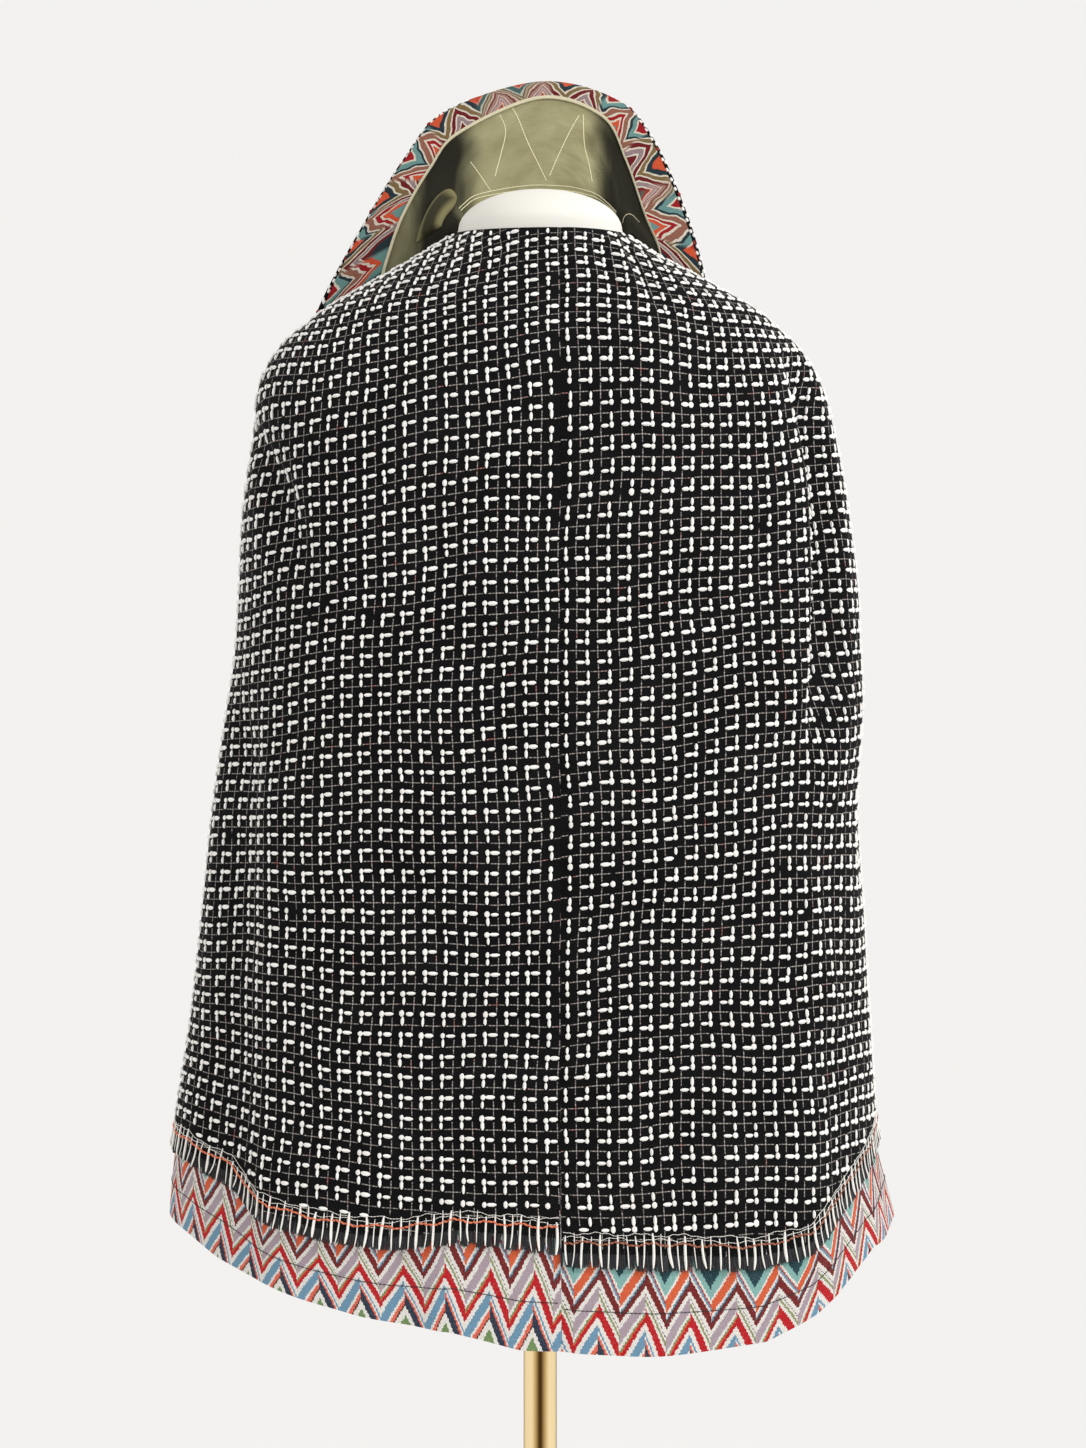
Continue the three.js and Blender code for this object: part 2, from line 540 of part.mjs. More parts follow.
// A point of the collar under the small fold, near the neck at the left: "side" goes from -1 to 1 across
// the fold, which narrows to a round end.
function tabPoint(station, side) {
  const share = Math.max(0, (station - TAB_ROUND_FROM) / (TAB_STATIONS[1] - TAB_ROUND_FROM));
  const halfWidth = TAB_HALF_WIDTH * Math.sqrt(1 - TAB_ROUND * share ** 2);
  return collarPoint(station, TAB_MIDDLE + halfWidth * side);
}

// The fold of olive twill, which stands off the lining in a soft bulge.
function addCollarTab() {
  const [first, end] = TAB_STATIONS;
  const patch = { a: spread(first, end, 10), b: spread(-1, 1, 5) };
  const back = LINING_OUTER - TWILL - SEAM_GAP;
  const bulge = (station, side) => {
    const along = Math.max(0, Math.sin((Math.PI * (station - first)) / (end - first)));
    const across = Math.max(0, Math.cos((Math.PI / 2) * side));
    return back - TAB_EDGE - TAB_BULGE * along ** 0.3 * across ** 0.6;
  };
  addMesh("collar_tab", wallGeometry(tabPoint, patch, bulge, () => back), OLIVE);
}
addCollarTab();

// ---------------------------------------------------------------- the form and its stand
function formGeometry() {
  const sides = 28;
  const heights = [];
  const bodySteps = 21;
  const shoulder = NECK_TOP - NECK_DOME;
  for (let k = 0; k <= bodySteps; k += 1) {
    const share = k / bodySteps;
    heights.push(THREE.MathUtils.lerp(FORM_BOTTOM, shoulder, 1 - (1 - share) ** 1.45));
  }
  for (const share of [0.4, 0.72, 0.92]) heights.push(shoulder + share * NECK_DOME);
  const positions = [0, 0, FORM_BOTTOM];
  for (const z of heights) {
    const section = (column) => tableValue(FORM_SECTIONS, "z", column, Math.min(z, shoulder));
    const cap = Math.sqrt(1 - Math.max(0, (z - shoulder) / NECK_DOME) ** 2);
    const square = section("square");
    for (let side = 0; side < sides; side += 1) {
      const turn = (side / sides) * 2 * Math.PI;
      const sine = Math.sin(turn);
      const cosine = Math.cos(turn);
      const depth = cosine > 0 ? section("back") : section("front");
      const unit = (Math.abs(sine) / section("halfWidth")) ** square + (Math.abs(cosine) / depth) ** square;
      const radius = cap * unit ** (-1 / square);
      positions.push(radius * sine, -radius * cosine, z);
    }
  }
  positions.push(0, 0, NECK_TOP);
  const top = positions.length / 3 - 1;
  const at = (level, side) => 1 + level * sides + (side % sides);
  const index = [];
  for (let side = 0; side < sides; side += 1) {
    index.push(0, at(0, side + 1), at(0, side));
    for (let level = 0; level < heights.length - 1; level += 1) {
      index.push(at(level, side), at(level, side + 1), at(level + 1, side));
      index.push(at(level, side + 1), at(level + 1, side + 1), at(level + 1, side));
    }
    index.push(at(heights.length - 1, side), at(heights.length - 1, side + 1), top);
  }
  const geometry = new THREE.BufferGeometry();
  geometry.setAttribute("position", new THREE.Float32BufferAttribute(positions, 3));
  geometry.setIndex(index);
  return geometry;
}

function addStand() {
  addMesh("form_torso", formGeometry(), FORM_WHITE);
  const poleBottom = BASE_HEIGHT + SEAM_GAP;
  const poleTop = FORM_BOTTOM - SEAM_GAP;
  const pole = new THREE.CylinderGeometry(POLE_RADIUS, POLE_RADIUS, poleTop - poleBottom, 24);
  pole.rotateX(Math.PI / 2).translate(0, 0, (poleTop + poleBottom) / 2);
  addMesh("pole", pole, BRASS);
  const profile = [
    new THREE.Vector2(0, 0),
    new THREE.Vector2(BASE_RADIUS - BASE_ROUND, 0),
    new THREE.Vector2(BASE_RADIUS, BASE_ROUND),
    new THREE.Vector2(BASE_RADIUS, BASE_RIM),
    new THREE.Vector2(BASE_RADIUS - BASE_ROUND, BASE_RIM + BASE_ROUND),
    new THREE.Vector2(FLANGE_RADIUS, BASE_HEIGHT),
    new THREE.Vector2(0, BASE_HEIGHT),
  ];
  addMesh("base", new THREE.LatheGeometry(profile, 36).rotateX(Math.PI / 2), BRASS);
  const inner = POLE_RADIUS + SEAM_GAP;
  const low = BASE_HEIGHT + SEAM_GAP;
  const flange = [
    new THREE.Vector2(inner, low),
    new THREE.Vector2(FLANGE_RADIUS, low),
    new THREE.Vector2(FLANGE_RADIUS, low + FLANGE_FOOT),
    new THREE.Vector2(inner + 1.4 * FLANGE_NECK, low + 2 * FLANGE_FOOT),
    new THREE.Vector2(inner + FLANGE_NECK, low + FLANGE_HEIGHT),
    new THREE.Vector2(inner, low + FLANGE_HEIGHT),
    new THREE.Vector2(inner, low),
  ];
  addMesh("pole_flange", new THREE.LatheGeometry(flange, 16).rotateX(Math.PI / 2), BRASS);
}
addStand();

export default cape;
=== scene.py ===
# %% [markdown]
# # A tweed cape on its dress form
#
# The imported model brings every solid at its real place: tweed panels, the chevron layer below them, a tall
# collar, the form and the brass stand. Everything made here is laid on those solids, in metres, so nothing
# has to be fitted.

# %% Load the frame
import bpy
import numpy as np
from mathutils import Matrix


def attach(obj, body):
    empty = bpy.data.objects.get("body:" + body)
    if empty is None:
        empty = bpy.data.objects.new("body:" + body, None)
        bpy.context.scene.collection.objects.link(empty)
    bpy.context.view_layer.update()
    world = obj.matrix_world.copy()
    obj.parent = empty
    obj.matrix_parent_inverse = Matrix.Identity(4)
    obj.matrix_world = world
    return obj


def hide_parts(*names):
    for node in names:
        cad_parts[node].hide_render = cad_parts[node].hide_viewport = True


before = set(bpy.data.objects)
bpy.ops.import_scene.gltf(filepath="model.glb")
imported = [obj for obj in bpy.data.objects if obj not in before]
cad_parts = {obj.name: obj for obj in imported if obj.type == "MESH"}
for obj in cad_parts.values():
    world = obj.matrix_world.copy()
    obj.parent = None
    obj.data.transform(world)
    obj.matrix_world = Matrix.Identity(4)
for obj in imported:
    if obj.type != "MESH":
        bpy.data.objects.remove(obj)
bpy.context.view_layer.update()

# %% [markdown]
# ## Camera, light and floor
#
# The camera looks level at the middle of the cape, from behind the wearer. A portrait frame is measured on
# its long side, so the lens follows from how much height is wanted in the frame. Soft cloth wants soft light:
# an even pale world does most of the work, and two large lamps give the folds a lit and a shaded side. The
# floor fades out with distance, so that no horizon cuts through the picture.

# %% Camera
EYE_HEIGHT = 1.073
EYE_DISTANCE = 2.5
FRAME_HEIGHT = 1.0426
SENSOR = 36.0


def add_object(name, data):
    thing = bpy.data.objects.new(name, data)
    bpy.context.scene.collection.objects.link(thing)
    return thing


camera = add_object("camera", bpy.data.cameras.new("camera"))
camera.data.sensor_width = SENSOR
camera.data.lens = SENSOR * EYE_DISTANCE / FRAME_HEIGHT
camera.location = (0.002, -EYE_DISTANCE, EYE_HEIGHT)
camera.rotation_euler = (np.pi / 2, 0, 0)
bpy.context.scene.camera = camera
bpy.context.scene.view_settings.view_transform = "Standard"
print("lens:", round(camera.data.lens, 1), "mm")

# %% Lamps and world
PALE = (0.895, 0.885, 0.868)
LAMPS = {
    "key": {"place": (2.3, -1.5, 2.8), "size": 1.1, "power": 58},
    "fill": {"place": (-1.9, -1.9, 1.3), "size": 1.6, "power": 5},
    "rim": {"place": (0.4, 2.2, 2.6), "size": 1.8, "power": 14},
}
AIM = np.array((0, 0, 1.05))


def aim_at(place, target):
    """The turn that points a lamp's own -Z from its place to the target: first tilt, then heading."""
    x, y, z = target - np.array(place)
    tilt = np.arctan2(np.hypot(x, y), -z)
    return (tilt, 0, np.arctan2(-x, y))


for name, lamp in LAMPS.items():
    light = bpy.data.lights.new(name, "AREA")
    light.size = lamp["size"]
    light.energy = lamp["power"]
    fixture = add_object(name, light)
    fixture.location = lamp["place"]
    fixture.rotation_euler = aim_at(lamp["place"], AIM)

world = bpy.data.worlds.new("studio")
world.use_nodes = True
world.node_tree.nodes["Background"].inputs["Color"].default_value = (*PALE, 1)
world.node_tree.nodes["Background"].inputs["Strength"].default_value = 1.0
bpy.context.scene.world = world
print(len(LAMPS), "lamps")

# %% [markdown]
# ## A short way to write materials
#
# A Blender material is a graph of nodes. Written out socket by socket it is long and hard to read, so two
# small classes help. `Flow` wraps a number's socket: arithmetic on it adds Math nodes, so a formula in Python
# is also a formula in the material. `Finish` is the material being made, with one method for any node.

# %% Flow and Finish
class Flow:
    """A number that varies over the surface. Arithmetic on it adds Math nodes to its finish."""

    def __init__(self, finish, socket):
        self.finish = finish
        self.socket = socket

    def __add__(self, other):
        return self.finish.math("ADD", self, other)

    def __sub__(self, other):
        return self.finish.math("SUBTRACT", self, other)

    def __rsub__(self, other):
        return self.finish.math("SUBTRACT", other, self)

    def __mul__(self, other):
        return self.finish.math("MULTIPLY", self, other)

    def __truediv__(self, other):
        return self.finish.math("DIVIDE", self, other)

    def __abs__(self):
        return self.finish.math("ABSOLUTE", self)

    __radd__ = __add__
    __rmul__ = __mul__


class Finish:
    """A material being made. Its method node() adds any node: settings first, then sockets."""

    def __init__(self, name):
        self.material = bpy.data.materials.new(name)
        self.material.use_nodes = True
        self.tree = self.material.node_tree
        self.shader = self.tree.nodes["Principled BSDF"]

    def node(self, kind, settings, sockets, out=0):
        made = self.tree.nodes.new(kind)
        for key, value in settings.items():
            setattr(made, key, value)
        self.plug(made, sockets)
        return Flow(self, made.outputs[out])

    def plug(self, made, sockets):
        for key, value in sockets.items():
            if isinstance(value, Flow):
                self.tree.links.new(value.socket, made.inputs[key])
            else:
                made.inputs[key].default_value = value

    def math(self, operation, *values, clamp=False):
        settings = {"operation": operation, "use_clamp": clamp}
        return self.node("ShaderNodeMath", settings, dict(enumerate(values)))

    def step(self, value, low, high):
        """0 below low, 1 above high and a smooth rise between them."""
        sockets = {0: value, 1: low, 2: high, 3: 0.0, 4: 1.0}
        return self.node("ShaderNodeMapRange", {"interpolation_type": "SMOOTHSTEP"}, sockets)

    def mix(self, factor, first, second, blend="MIX"):
        settings = {"data_type": "RGBA", "blend_type": blend}
        return self.node("ShaderNodeMix", settings, {0: factor, 6: first, 7: second}, out=2)

    def ramp(self, value, stops, hard=False):
        """A colour ramp whose stops are (place, colour); "hard" keeps each colour up to the next stop."""
        made = self.tree.nodes.new("ShaderNodeValToRGB")
        made.color_ramp.interpolation = "CONSTANT" if hard else "LINEAR"
        elements = made.color_ramp.elements
        while len(elements) < len(stops):
            elements.new(1.0)
        for element, (place, colour) in zip(elements, stops):
            element.position = place
            element.color = colour
        self.plug(made, {"Fac": value})
        return Flow(self, made.outputs["Color"])

    def noise(self, vector, scale, detail=2.0, rough=0.5):
        sockets = {"Vector": vector, "Scale": scale, "Detail": detail, "Roughness": rough}
        return self.node("ShaderNodeTexNoise", {}, sockets)

    def waver(self, vector, scale, detail, reach):
        """Noise about 0, up to half the reach to each side."""
        return (self.noise(vector, scale, detail) - 0.5) * reach

    def wave(self, place, period):
        """sin(2π · place / period)."""
        return self.math("SINE", place * (2 * np.pi / period))

    def split(self, vector):
        return [self.node("ShaderNodeSeparateXYZ", {}, {0: vector}, out=k) for k in range(3)]

    def join(self, x, y, z=0.0):
        return self.node("ShaderNodeCombineXYZ", {}, {0: x, 1: y, 2: z})

    def cloth_map(self):
        return self.node("ShaderNodeUVMap", {"uv_map": "cloth"}, {})

    def place(self):
        return self.node("ShaderNodeTexCoord", {}, {}, out=3)

    def bump(self, height, distance, strength=1.0):
        sockets = {"Height": height, "Distance": distance, "Strength": strength}
        return self.node("ShaderNodeBump", {}, sockets)

    def done(self, **sockets):
        self.plug(self.shader, {key.replace("_", " "): value for key, value in sockets.items()})
        return self.material


def srgb(red, green, blue, alpha=1.0):
    """A colour given as 0 to 255 for a screen, as the light that Blender counts in."""
    share = np.array((red, green, blue)) / 255
    light = np.where(share <= 0.04045, share / 12.92, ((share + 0.055) / 1.055) ** 2.4)
    return (*[float(x) for x in light], alpha)


# %% Floor
FLOOR_RADIUS = 5.0
FLOOR_FADE_FROM = 0.9


def floor_mesh():
    """A flat disc: points at even angles on one circle."""
    turn = np.linspace(0, 2 * np.pi, 96, endpoint=False)
    ring = np.stack([FLOOR_RADIUS * np.cos(turn), FLOOR_RADIUS * np.sin(turn), 0 * turn], axis=1)
    mesh = bpy.data.meshes.new("floor")
    mesh.from_pydata(ring.tolist(), [], [list(range(len(ring)))])
    return mesh


def floor_finish():
    finish = Finish("floor")
    x, y, _ = finish.split(finish.place())
    radius = finish.math("SQRT", x * x + y * y)
    grain = finish.noise(finish.place(), 3.0)
    colour = finish.mix(grain, srgb(240, 239, 236), srgb(246, 245, 243))
    seen = 1 - finish.step(radius, FLOOR_FADE_FROM, 0.6 * FLOOR_RADIUS)
    return finish.done(Base_Color=colour, Roughness=0.85, Alpha=seen)


floor = add_object("floor", floor_mesh())
floor.data.materials.append(floor_finish())
print("floor radius:", FLOOR_RADIUS)

# %% [markdown]
# ## Smooth tables
#
# A garment's shape is easiest to give the way a pattern cutter does, in millimetres at a few levels. A smooth
# curve through each column of such a table gives the value anywhere between. The curve here is a Hermite
# spline: at each row it has the slope between that row's two neighbours, so it never wiggles far.

# %% Tables and the curve through them
MM = 0.001


def columns(names, *rows):
    """A table from rows of numbers, with each column called by its name."""
    return dict(zip(names.split(), np.array(rows, float).T))


def hermite(keys, values, x):
    """The smooth curve through values at keys, at x; past the last key it goes straight on."""
    last = len(keys) - 1
    row = np.arange(last + 1)
    before, after = np.maximum(row - 1, 0), np.minimum(row + 1, last)
    run = (keys[after] - keys[before]).reshape(-1, *[1] * (values.ndim - 1))
    slopes = (values[after] - values[before]) / run
    i = np.clip(np.searchsorted(keys, x) - 1, 0, last - 1)

    def pick(rows, k):
        return rows[k] if rows.ndim == 1 else np.take_along_axis(rows, k[None], 0)[0]

    span = keys[i + 1] - keys[i]
    t = (x - keys[i]) / span
    start, end = pick(values, i), pick(values, i + 1)
    start_slope, end_slope = pick(slopes, i) * span, pick(slopes, i + 1) * span
    curve = (
        (2 * t**3 - 3 * t**2 + 1) * start
        + (t**3 - 2 * t**2 + t) * start_slope
        + (3 * t**2 - 2 * t**3) * end
        + (t**3 - t**2) * end_slope
    )
    return np.where(t > 1, end + end_slope * (t - 1), curve)


def smoothstep(x, low, high):
    t = np.clip((x - low) / (high - low), 0, 1)
    return t * t * (3 - 2 * t)


# %% [markdown]
# ## The dress form's shape
#
# The form is a stack of rounded sections, each a little squarer than an ellipse. The cloth rests on it, so
# its shape is needed first: the cape's surface is lifted wherever it would come too close.

# %% The form's sections
FORM_BOTTOM, NECK_TOP, NECK_DOME = 748, 1457, 29
FORM_SECTIONS = columns(
    "z half_width back front square",
    (748, 138, 100, 96, 2.2),
    (800, 158, 116, 104, 2.2),
    (870, 166, 120, 106, 2.2),
    (950, 148, 100, 98, 2.2),
    (1040, 121, 83, 90, 2.2),
    (1120, 132, 88, 100, 2.2),
    (1200, 152, 103, 118, 2.3),
    (1260, 172, 113, 122, 2.4),
    (1305, 184, 112, 110, 2.4),
    (1334, 184, 105, 96, 2.3),
    (1345, 177, 100, 89, 2.2),
    (1365, 157, 90, 80, 2.1),
    (1385, 124, 77, 71, 2),
    (1404, 88, 66, 63, 2),
    (1418, 64, 61, 60, 2),
    (1428, 59, 59, 59, 2),
)


def outside_form(x, y, z):
    """How far a point lies outside the form's section at its height, as a share of the section's size."""
    z = np.clip(z, FORM_BOTTOM, NECK_TOP - NECK_DOME)
    keys = FORM_SECTIONS["z"]
    square = hermite(keys, FORM_SECTIONS["square"], z)
    depth = np.where(y < 0, hermite(keys, FORM_SECTIONS["back"], z), hermite(keys, FORM_SECTIONS["front"], z))
    across = (abs(x) / hermite(keys, FORM_SECTIONS["half_width"], z)) ** square
    return (across + (abs(y) / depth) ** square) ** (1 / square) - 1


def lift_off_form(points, clearance, passes=4, step=0.5):
    """Moves points straight out of the form, along the slope of outside_form, to the clearance."""
    for _ in range(passes):
        x, y, z = np.moveaxis(points, -1, 0)
        slope = np.stack([
            outside_form(x + step, y, z) - outside_form(x - step, y, z),
            outside_form(x, y + step, z) - outside_form(x, y - step, z),
            outside_form(x, y, z + step) - outside_form(x, y, z - step),
        ], axis=-1) / (2 * step)
        size = np.linalg.norm(slope, axis=-1, keepdims=True)
        distance = outside_form(x, y, z)[..., None] / size
        points = points + np.maximum(clearance - distance, 0) * slope / size
    return points


print("form sections:", len(FORM_SECTIONS["z"]))

# %% [markdown]
# ## The cape's surface
#
# The cape is one surface of two numbers: an angle round the body from the centre-back seam, and a length down
# the cloth from the neckline. Rings give its size at each length. Folds are soft troughs and ridges that run
# from one place to another, and each has its own width and depth, as real folds do. The large ones are in the
# solids too. The fine ones are creases and puckers that only the cloth itself shows.

# %% Rings
SEAM_X, TWEED, FORM_GAP = 14, 2.0, 1.2
TWEED_LENGTH, FULL_LENGTH, UNDERLAP = 713, 780, 48
BODY_RINGS = columns(
    "length left right back front z_side z_back z_front square dip_left dip_right",
    (0, 64, 63, 69, 71, 1424, 1421, 1414, 2, 0.9, 0.9),
    (32, 91, 88, 79, 83, 1407.5, 1400, 1390, 2, 0.8, 0.8),
    (70, 125, 119, 95, 97, 1387.5, 1372, 1360, 2.05, 0.75, 0.75),
    (109, 158, 155, 111, 110, 1366.5, 1341, 1328, 2.1, 0.7, 0.7),
    (144, 184, 182, 125, 123, 1347, 1304, 1292, 2.2, 0.7, 0.7),
    (180, 201, 201, 135, 134, 1318, 1264, 1254, 2.3, 0.75, 0.75),
    (222, 206, 212, 142, 142, 1277, 1220, 1212, 2.4, 0.8, 0.8),
    (275, 213, 221, 147, 148, 1225, 1168, 1162, 2.5, 0.8, 0.8),
    (337, 216, 228, 150, 152, 1162, 1108, 1104, 2.55, 0.8, 0.8),
    (409, 221, 232, 153, 157, 1090, 1038, 1036, 2.6, 0.75, 0.75),
    (481, 231, 228, 156, 162, 1018, 968, 968, 2.6, 0.7, 0.65),
    (553, 239, 231, 160, 167, 946, 897, 900, 2.6, 0.65, 0.55),
    (625, 247, 235, 166, 173, 874, 824, 830, 2.6, 0.6, 0.45),
    (713, 261, 242, 176, 181, 785, 733, 742, 2.6, 0.55, 0.38),
    (780, 266, 256, 184, 188, 724, 654, 684, 2.6, 0.8, 0.6),
)


def ring(column, length):
    return hermite(BODY_RINGS["length"], BODY_RINGS[column], length)


# %% Uneven edges
EDGE_DROPS = columns(
    "angle tweed hem",
    (-120, 0, 0),
    (-97, 0, -10),
    (-84, -3, -14),
    (-72, -8, -12),
    (-64, -5, -9),
    (-57, 8, -8),
    (-46, 9, -6),
    (-34, 8, -6),
    (-22, 0, -7),
    (-8, 2, 0),
    (-0.001, 4, 0),
    (0, 12, 0),
    (20, 14, 5),
    (40, 18, 6),
    (49, 14, -2),
    (56, -2, -14),
    (66, -14, -19),
    (77, -14, -6),
    (90, -2, 0),
    (120, 0, 0),
)
DROP_FROM = 560


def edge_drop(angle, length):
    """How much further down the cloth a point lies than its length says, because the tweed's edge and the
    longer layer's edge were cut unevenly. It grows towards the tweed's edge and turns into the other's."""
    turn = (angle + 180) % 360 - 180
    tweed = np.interp(turn, EDGE_DROPS["angle"], EDGE_DROPS["tweed"])
    hem = np.interp(turn, EDGE_DROPS["angle"], EDGE_DROPS["hem"])
    near_hem = smoothstep(length, TWEED_LENGTH, FULL_LENGTH)
    return tweed * (smoothstep(length, DROP_FROM, TWEED_LENGTH) - near_hem) + hem * near_hem


# %% Folds
FOLD_COLUMNS = "from_angle from_length to_angle to_length half_width depth fade"
LARGE_FOLDS = columns(
    FOLD_COLUMNS,
    (73, 130, 60, 440, 8, -16, 70),
    (60, 170, 50, 420, 8, 5, 70),
    (-76, 190, -55, 330, 9, -8, 70),
    (-72, 380, -60, 800, 8, -8, 70),
    (-80, 360, -74, 860, 9, 4, 70),
    (-16, 430, -4, 600, 9, -4, 70),
    (22, 560, 34, 860, 9, -6, 70),
    (50, 560, 52, 900, 10, 6, 70),
    (-34, 600, -30, 900, 8, -5, 70),
    (128, 190, 124, 560, 11, -12, 70),
    (146, 330, 142, 900, 10, 8, 70),
    (165, 420, 168, 900, 10, -11, 70),
    (-168, 340, -165, 900, 11, 7, 70),
    (-146, 240, -142, 900, 12, -13, 70),
    (-122, 200, -118, 900, 11, 6, 70),
    (108, 420, 106, 900, 10, -6, 70),
)
FINE_FOLDS = columns(
    FOLD_COLUMNS,
    (-64, 6, -58, 96, 8, -3.4, 26),
    (-48, 8, -44, 84, 7, 2.4, 22),
    (-33, 6, -30, 76, 6, -2.8, 20),
    (-20, 8, -22, 60, 6, 1.8, 18),
    (9, 6, 8, 56, 5, 1.6, 18),
    (20, 6, 24, 74, 5, -2.6, 20),
    (33, 6, 32, 90, 6, 3.0, 20),
    (46, 6, 40, 98, 6, -3.4, 24),
    (63, 8, 54, 104, 7, 2.6, 26),
    (-88, 196, -62, 262, 7, -3.6, 30),
    (-44, 210, -20, 300, 9, -2.4, 40),
    (-40, 300, -26, 420, 9, 2.6, 50),
    (30, 250, 36, 330, 8, -2.6, 40),
    (16, 420, 28, 520, 8, 2.6, 45),
    (-52, 420, -22, 560, 8, -3.0, 50),
    (40, 470, 30, 640, 7, -3.6, 50),
    (-12, 560, 8, 690, 8, -3.2, 45),
    (-24, 590, -10, 705, 7, 3.0, 40),
    (60, 470, 70, 640, 7, -3.2, 50),
    (84, 330, 80, 560, 7, -3.0, 60),
    (-90, 420, -86, 700, 6, -2.4, 60),
    (-50, 520, -44, 660, 7, 2.0, 45),
    (104, 60, 112, 190, 8, -2.4, 40),
    (-106, 70, -112, 200, 8, -2.2, 40),
    (152, 60, 160, 240, 8, -2.2, 50),
    (-152, 80, -158, 260, 9, 2.0, 50),
    (178, 300, 184, 560, 9, 2.6, 60),
    (118, 420, 126, 640, 7, -3.0, 60),
    (-132, 520, -128, 720, 7, -3.0, 60),
)
SEAM_HALF_WIDTH, SEAM_DEPTH = 1.7, 1.5


def fold_depth(folds, angle, length):
    """Each fold adds depth · (1 - across²)², where across is 0 on its line and 1 at its half width, and it
    fades in and out along its line."""
    depth = np.zeros(np.broadcast(angle, length).shape)
    for row in zip(*(folds[name] for name in FOLD_COLUMNS.split())):
        from_angle, from_length, to_angle, to_length, half_width, deep, fade = row
        along = np.clip((length - from_length) / (to_length - from_length), 0, 1)
        centre = from_angle + along * (to_angle - from_angle)
        across = abs((angle - centre + 180) % 360 - 180) / half_width
        start = smoothstep(length, from_length, from_length + fade)
        end = 1 - smoothstep(length, to_length - fade, to_length)
        depth += deep * start * end * np.maximum(1 - across**2, 0) ** 2
    return depth


# %% The surface
def cape_surface(angle, length, fine=True):
    """A point of the cape's outer face. In plan it is a ring with |x/a|^n + |y/b|^n = 1, moved out by the
    folds; its height dips from the ring's sides to its back and front as 1 - exp(-(cosine/sudden)²)."""
    turn = np.radians(angle)
    sine, cosine = np.sin(turn), np.cos(turn)
    length = length + edge_drop(angle, length)
    square = ring("square", length)
    half_width = np.where(sine > 0, ring("right", length) - SEAM_X, ring("left", length) + SEAM_X)
    depth = np.where(cosine > 0, ring("back", length), ring("front", length))
    unit = (abs(sine) / half_width) ** square + (abs(cosine) / depth) ** square
    radius = unit ** (-1 / square) + fold_depth(LARGE_FOLDS, angle, length)
    if fine:
        radius = radius + fold_depth(FINE_FOLDS, angle, length)
        radius = radius - SEAM_DEPTH * np.exp(-((angle / SEAM_HALF_WIDTH) ** 2))
    sudden = np.where(sine > 0, ring("dip_right", length), ring("dip_left", length))
    dip = (1 - np.exp(-((cosine / sudden) ** 2))) / (1 - np.exp(-(sudden**-2.0)))
    z_end = np.where(cosine > 0, ring("z_back", length), ring("z_front", length))
    z = ring("z_side", length) * (1 - dip) + z_end * dip
    points = np.stack([SEAM_X + radius * sine, -radius * cosine, z + 0 * radius], axis=-1)
    return lift_off_form(points, TWEED + FORM_GAP)


def normals_of(surface, step_a, step_b):
    """The function that gives a surface's outward direction, from two small steps along the surface."""
    def normal(a, b):
        along_a = surface(a + step_a, b) - surface(a - step_a, b)
        along_b = surface(a, b + step_b) - surface(a, b - step_b)
        out = np.cross(along_b, along_a)
        return out / np.linalg.norm(out, axis=-1, keepdims=True)

    return normal


def run_along(points, axis=0):
    """The distance run so far along each line of points, from 0 at its start."""
    run = np.cumsum(np.linalg.norm(np.diff(points, axis=axis), axis=-1), axis=axis)
    return np.concatenate([0 * np.take(run, [0], axis), run], axis=axis)


CAPE_STEPS = (0.5, 3.0)
cape_normals = normals_of(cape_surface, *CAPE_STEPS)

hem_back = cape_surface(np.array(0.0), np.array(float(FULL_LENGTH)))
print("lowest point at the centre back, mm:", hem_back.round(1))

# %% [markdown]
# ## Walls and yarns
#
# Two kinds of mesh make nearly everything. A wall is a patch of a surface with two faces and closed edges:
# the same grid of points, moved out by one distance and in by another. A yarn is a short tube along a few
# points, with its own radius at each, and hundreds of them are worked out together and joined in one mesh.

# %% Mesh helpers
def make_piece(name, points, faces, finish, chart=None):
    """A mesh object from points in millimetres. A chart holds the points' places on the flat cloth; a wall's
    chart is given for one face and serves the other face too."""
    mesh = bpy.data.meshes.new(name)
    mesh.from_pydata((points * MM).tolist(), [], faces)
    if chart is not None:
        corner = np.empty(len(mesh.loops), int)
        mesh.loops.foreach_get("vertex_index", corner)
        spots = np.resize(chart, (len(points), 2)).astype(np.float32)
        mesh.uv_layers.new(name="cloth").data.foreach_set("uv", spots[corner].ravel())
    mesh.materials.append(finish)
    mesh.shade_smooth()
    mesh.set_sharp_from_angle(angle=np.radians(55))
    piece = add_object(name, mesh)
    print(f"{name}: {len(mesh.polygons)} faces")
    return piece


def grid_faces(rows, cols, offset=0):
    """Quads over a grid of points, wound so that they face along (step of b) x (step of a)."""
    at = np.arange(rows * cols).reshape(rows, cols) + offset
    return np.stack([at[:-1, :-1], at[:-1, 1:], at[1:, 1:], at[1:, :-1]], axis=-1).reshape(-1, 4)


def wall(surface, normal_of, a, b, inner, outer):
    """A closed wall over the patch a by b of a surface, between two distances from it."""
    rows, cols = len(a), len(b)
    grid_a, grid_b = np.meshgrid(a, b, indexing="ij")
    middle = surface(grid_a, grid_b)
    out = normal_of(grid_a, grid_b)
    points = np.concatenate([
        (middle + out * np.asarray(distance)[..., None]).reshape(-1, 3) for distance in (outer, inner)
    ])
    size = rows * cols
    at = np.arange(size).reshape(rows, cols)
    rim = np.concatenate([at[0, :-1], at[:-1, -1], at[-1, :0:-1], at[:0:-1, 0]])
    ahead = np.roll(rim, -1)
    sides = np.stack([ahead, rim, rim + size, ahead + size], axis=1)
    faces = np.concatenate([grid_faces(rows, cols), grid_faces(rows, cols, size)[:, ::-1], sides])
    return points, faces.tolist(), (grid_a, grid_b, middle)


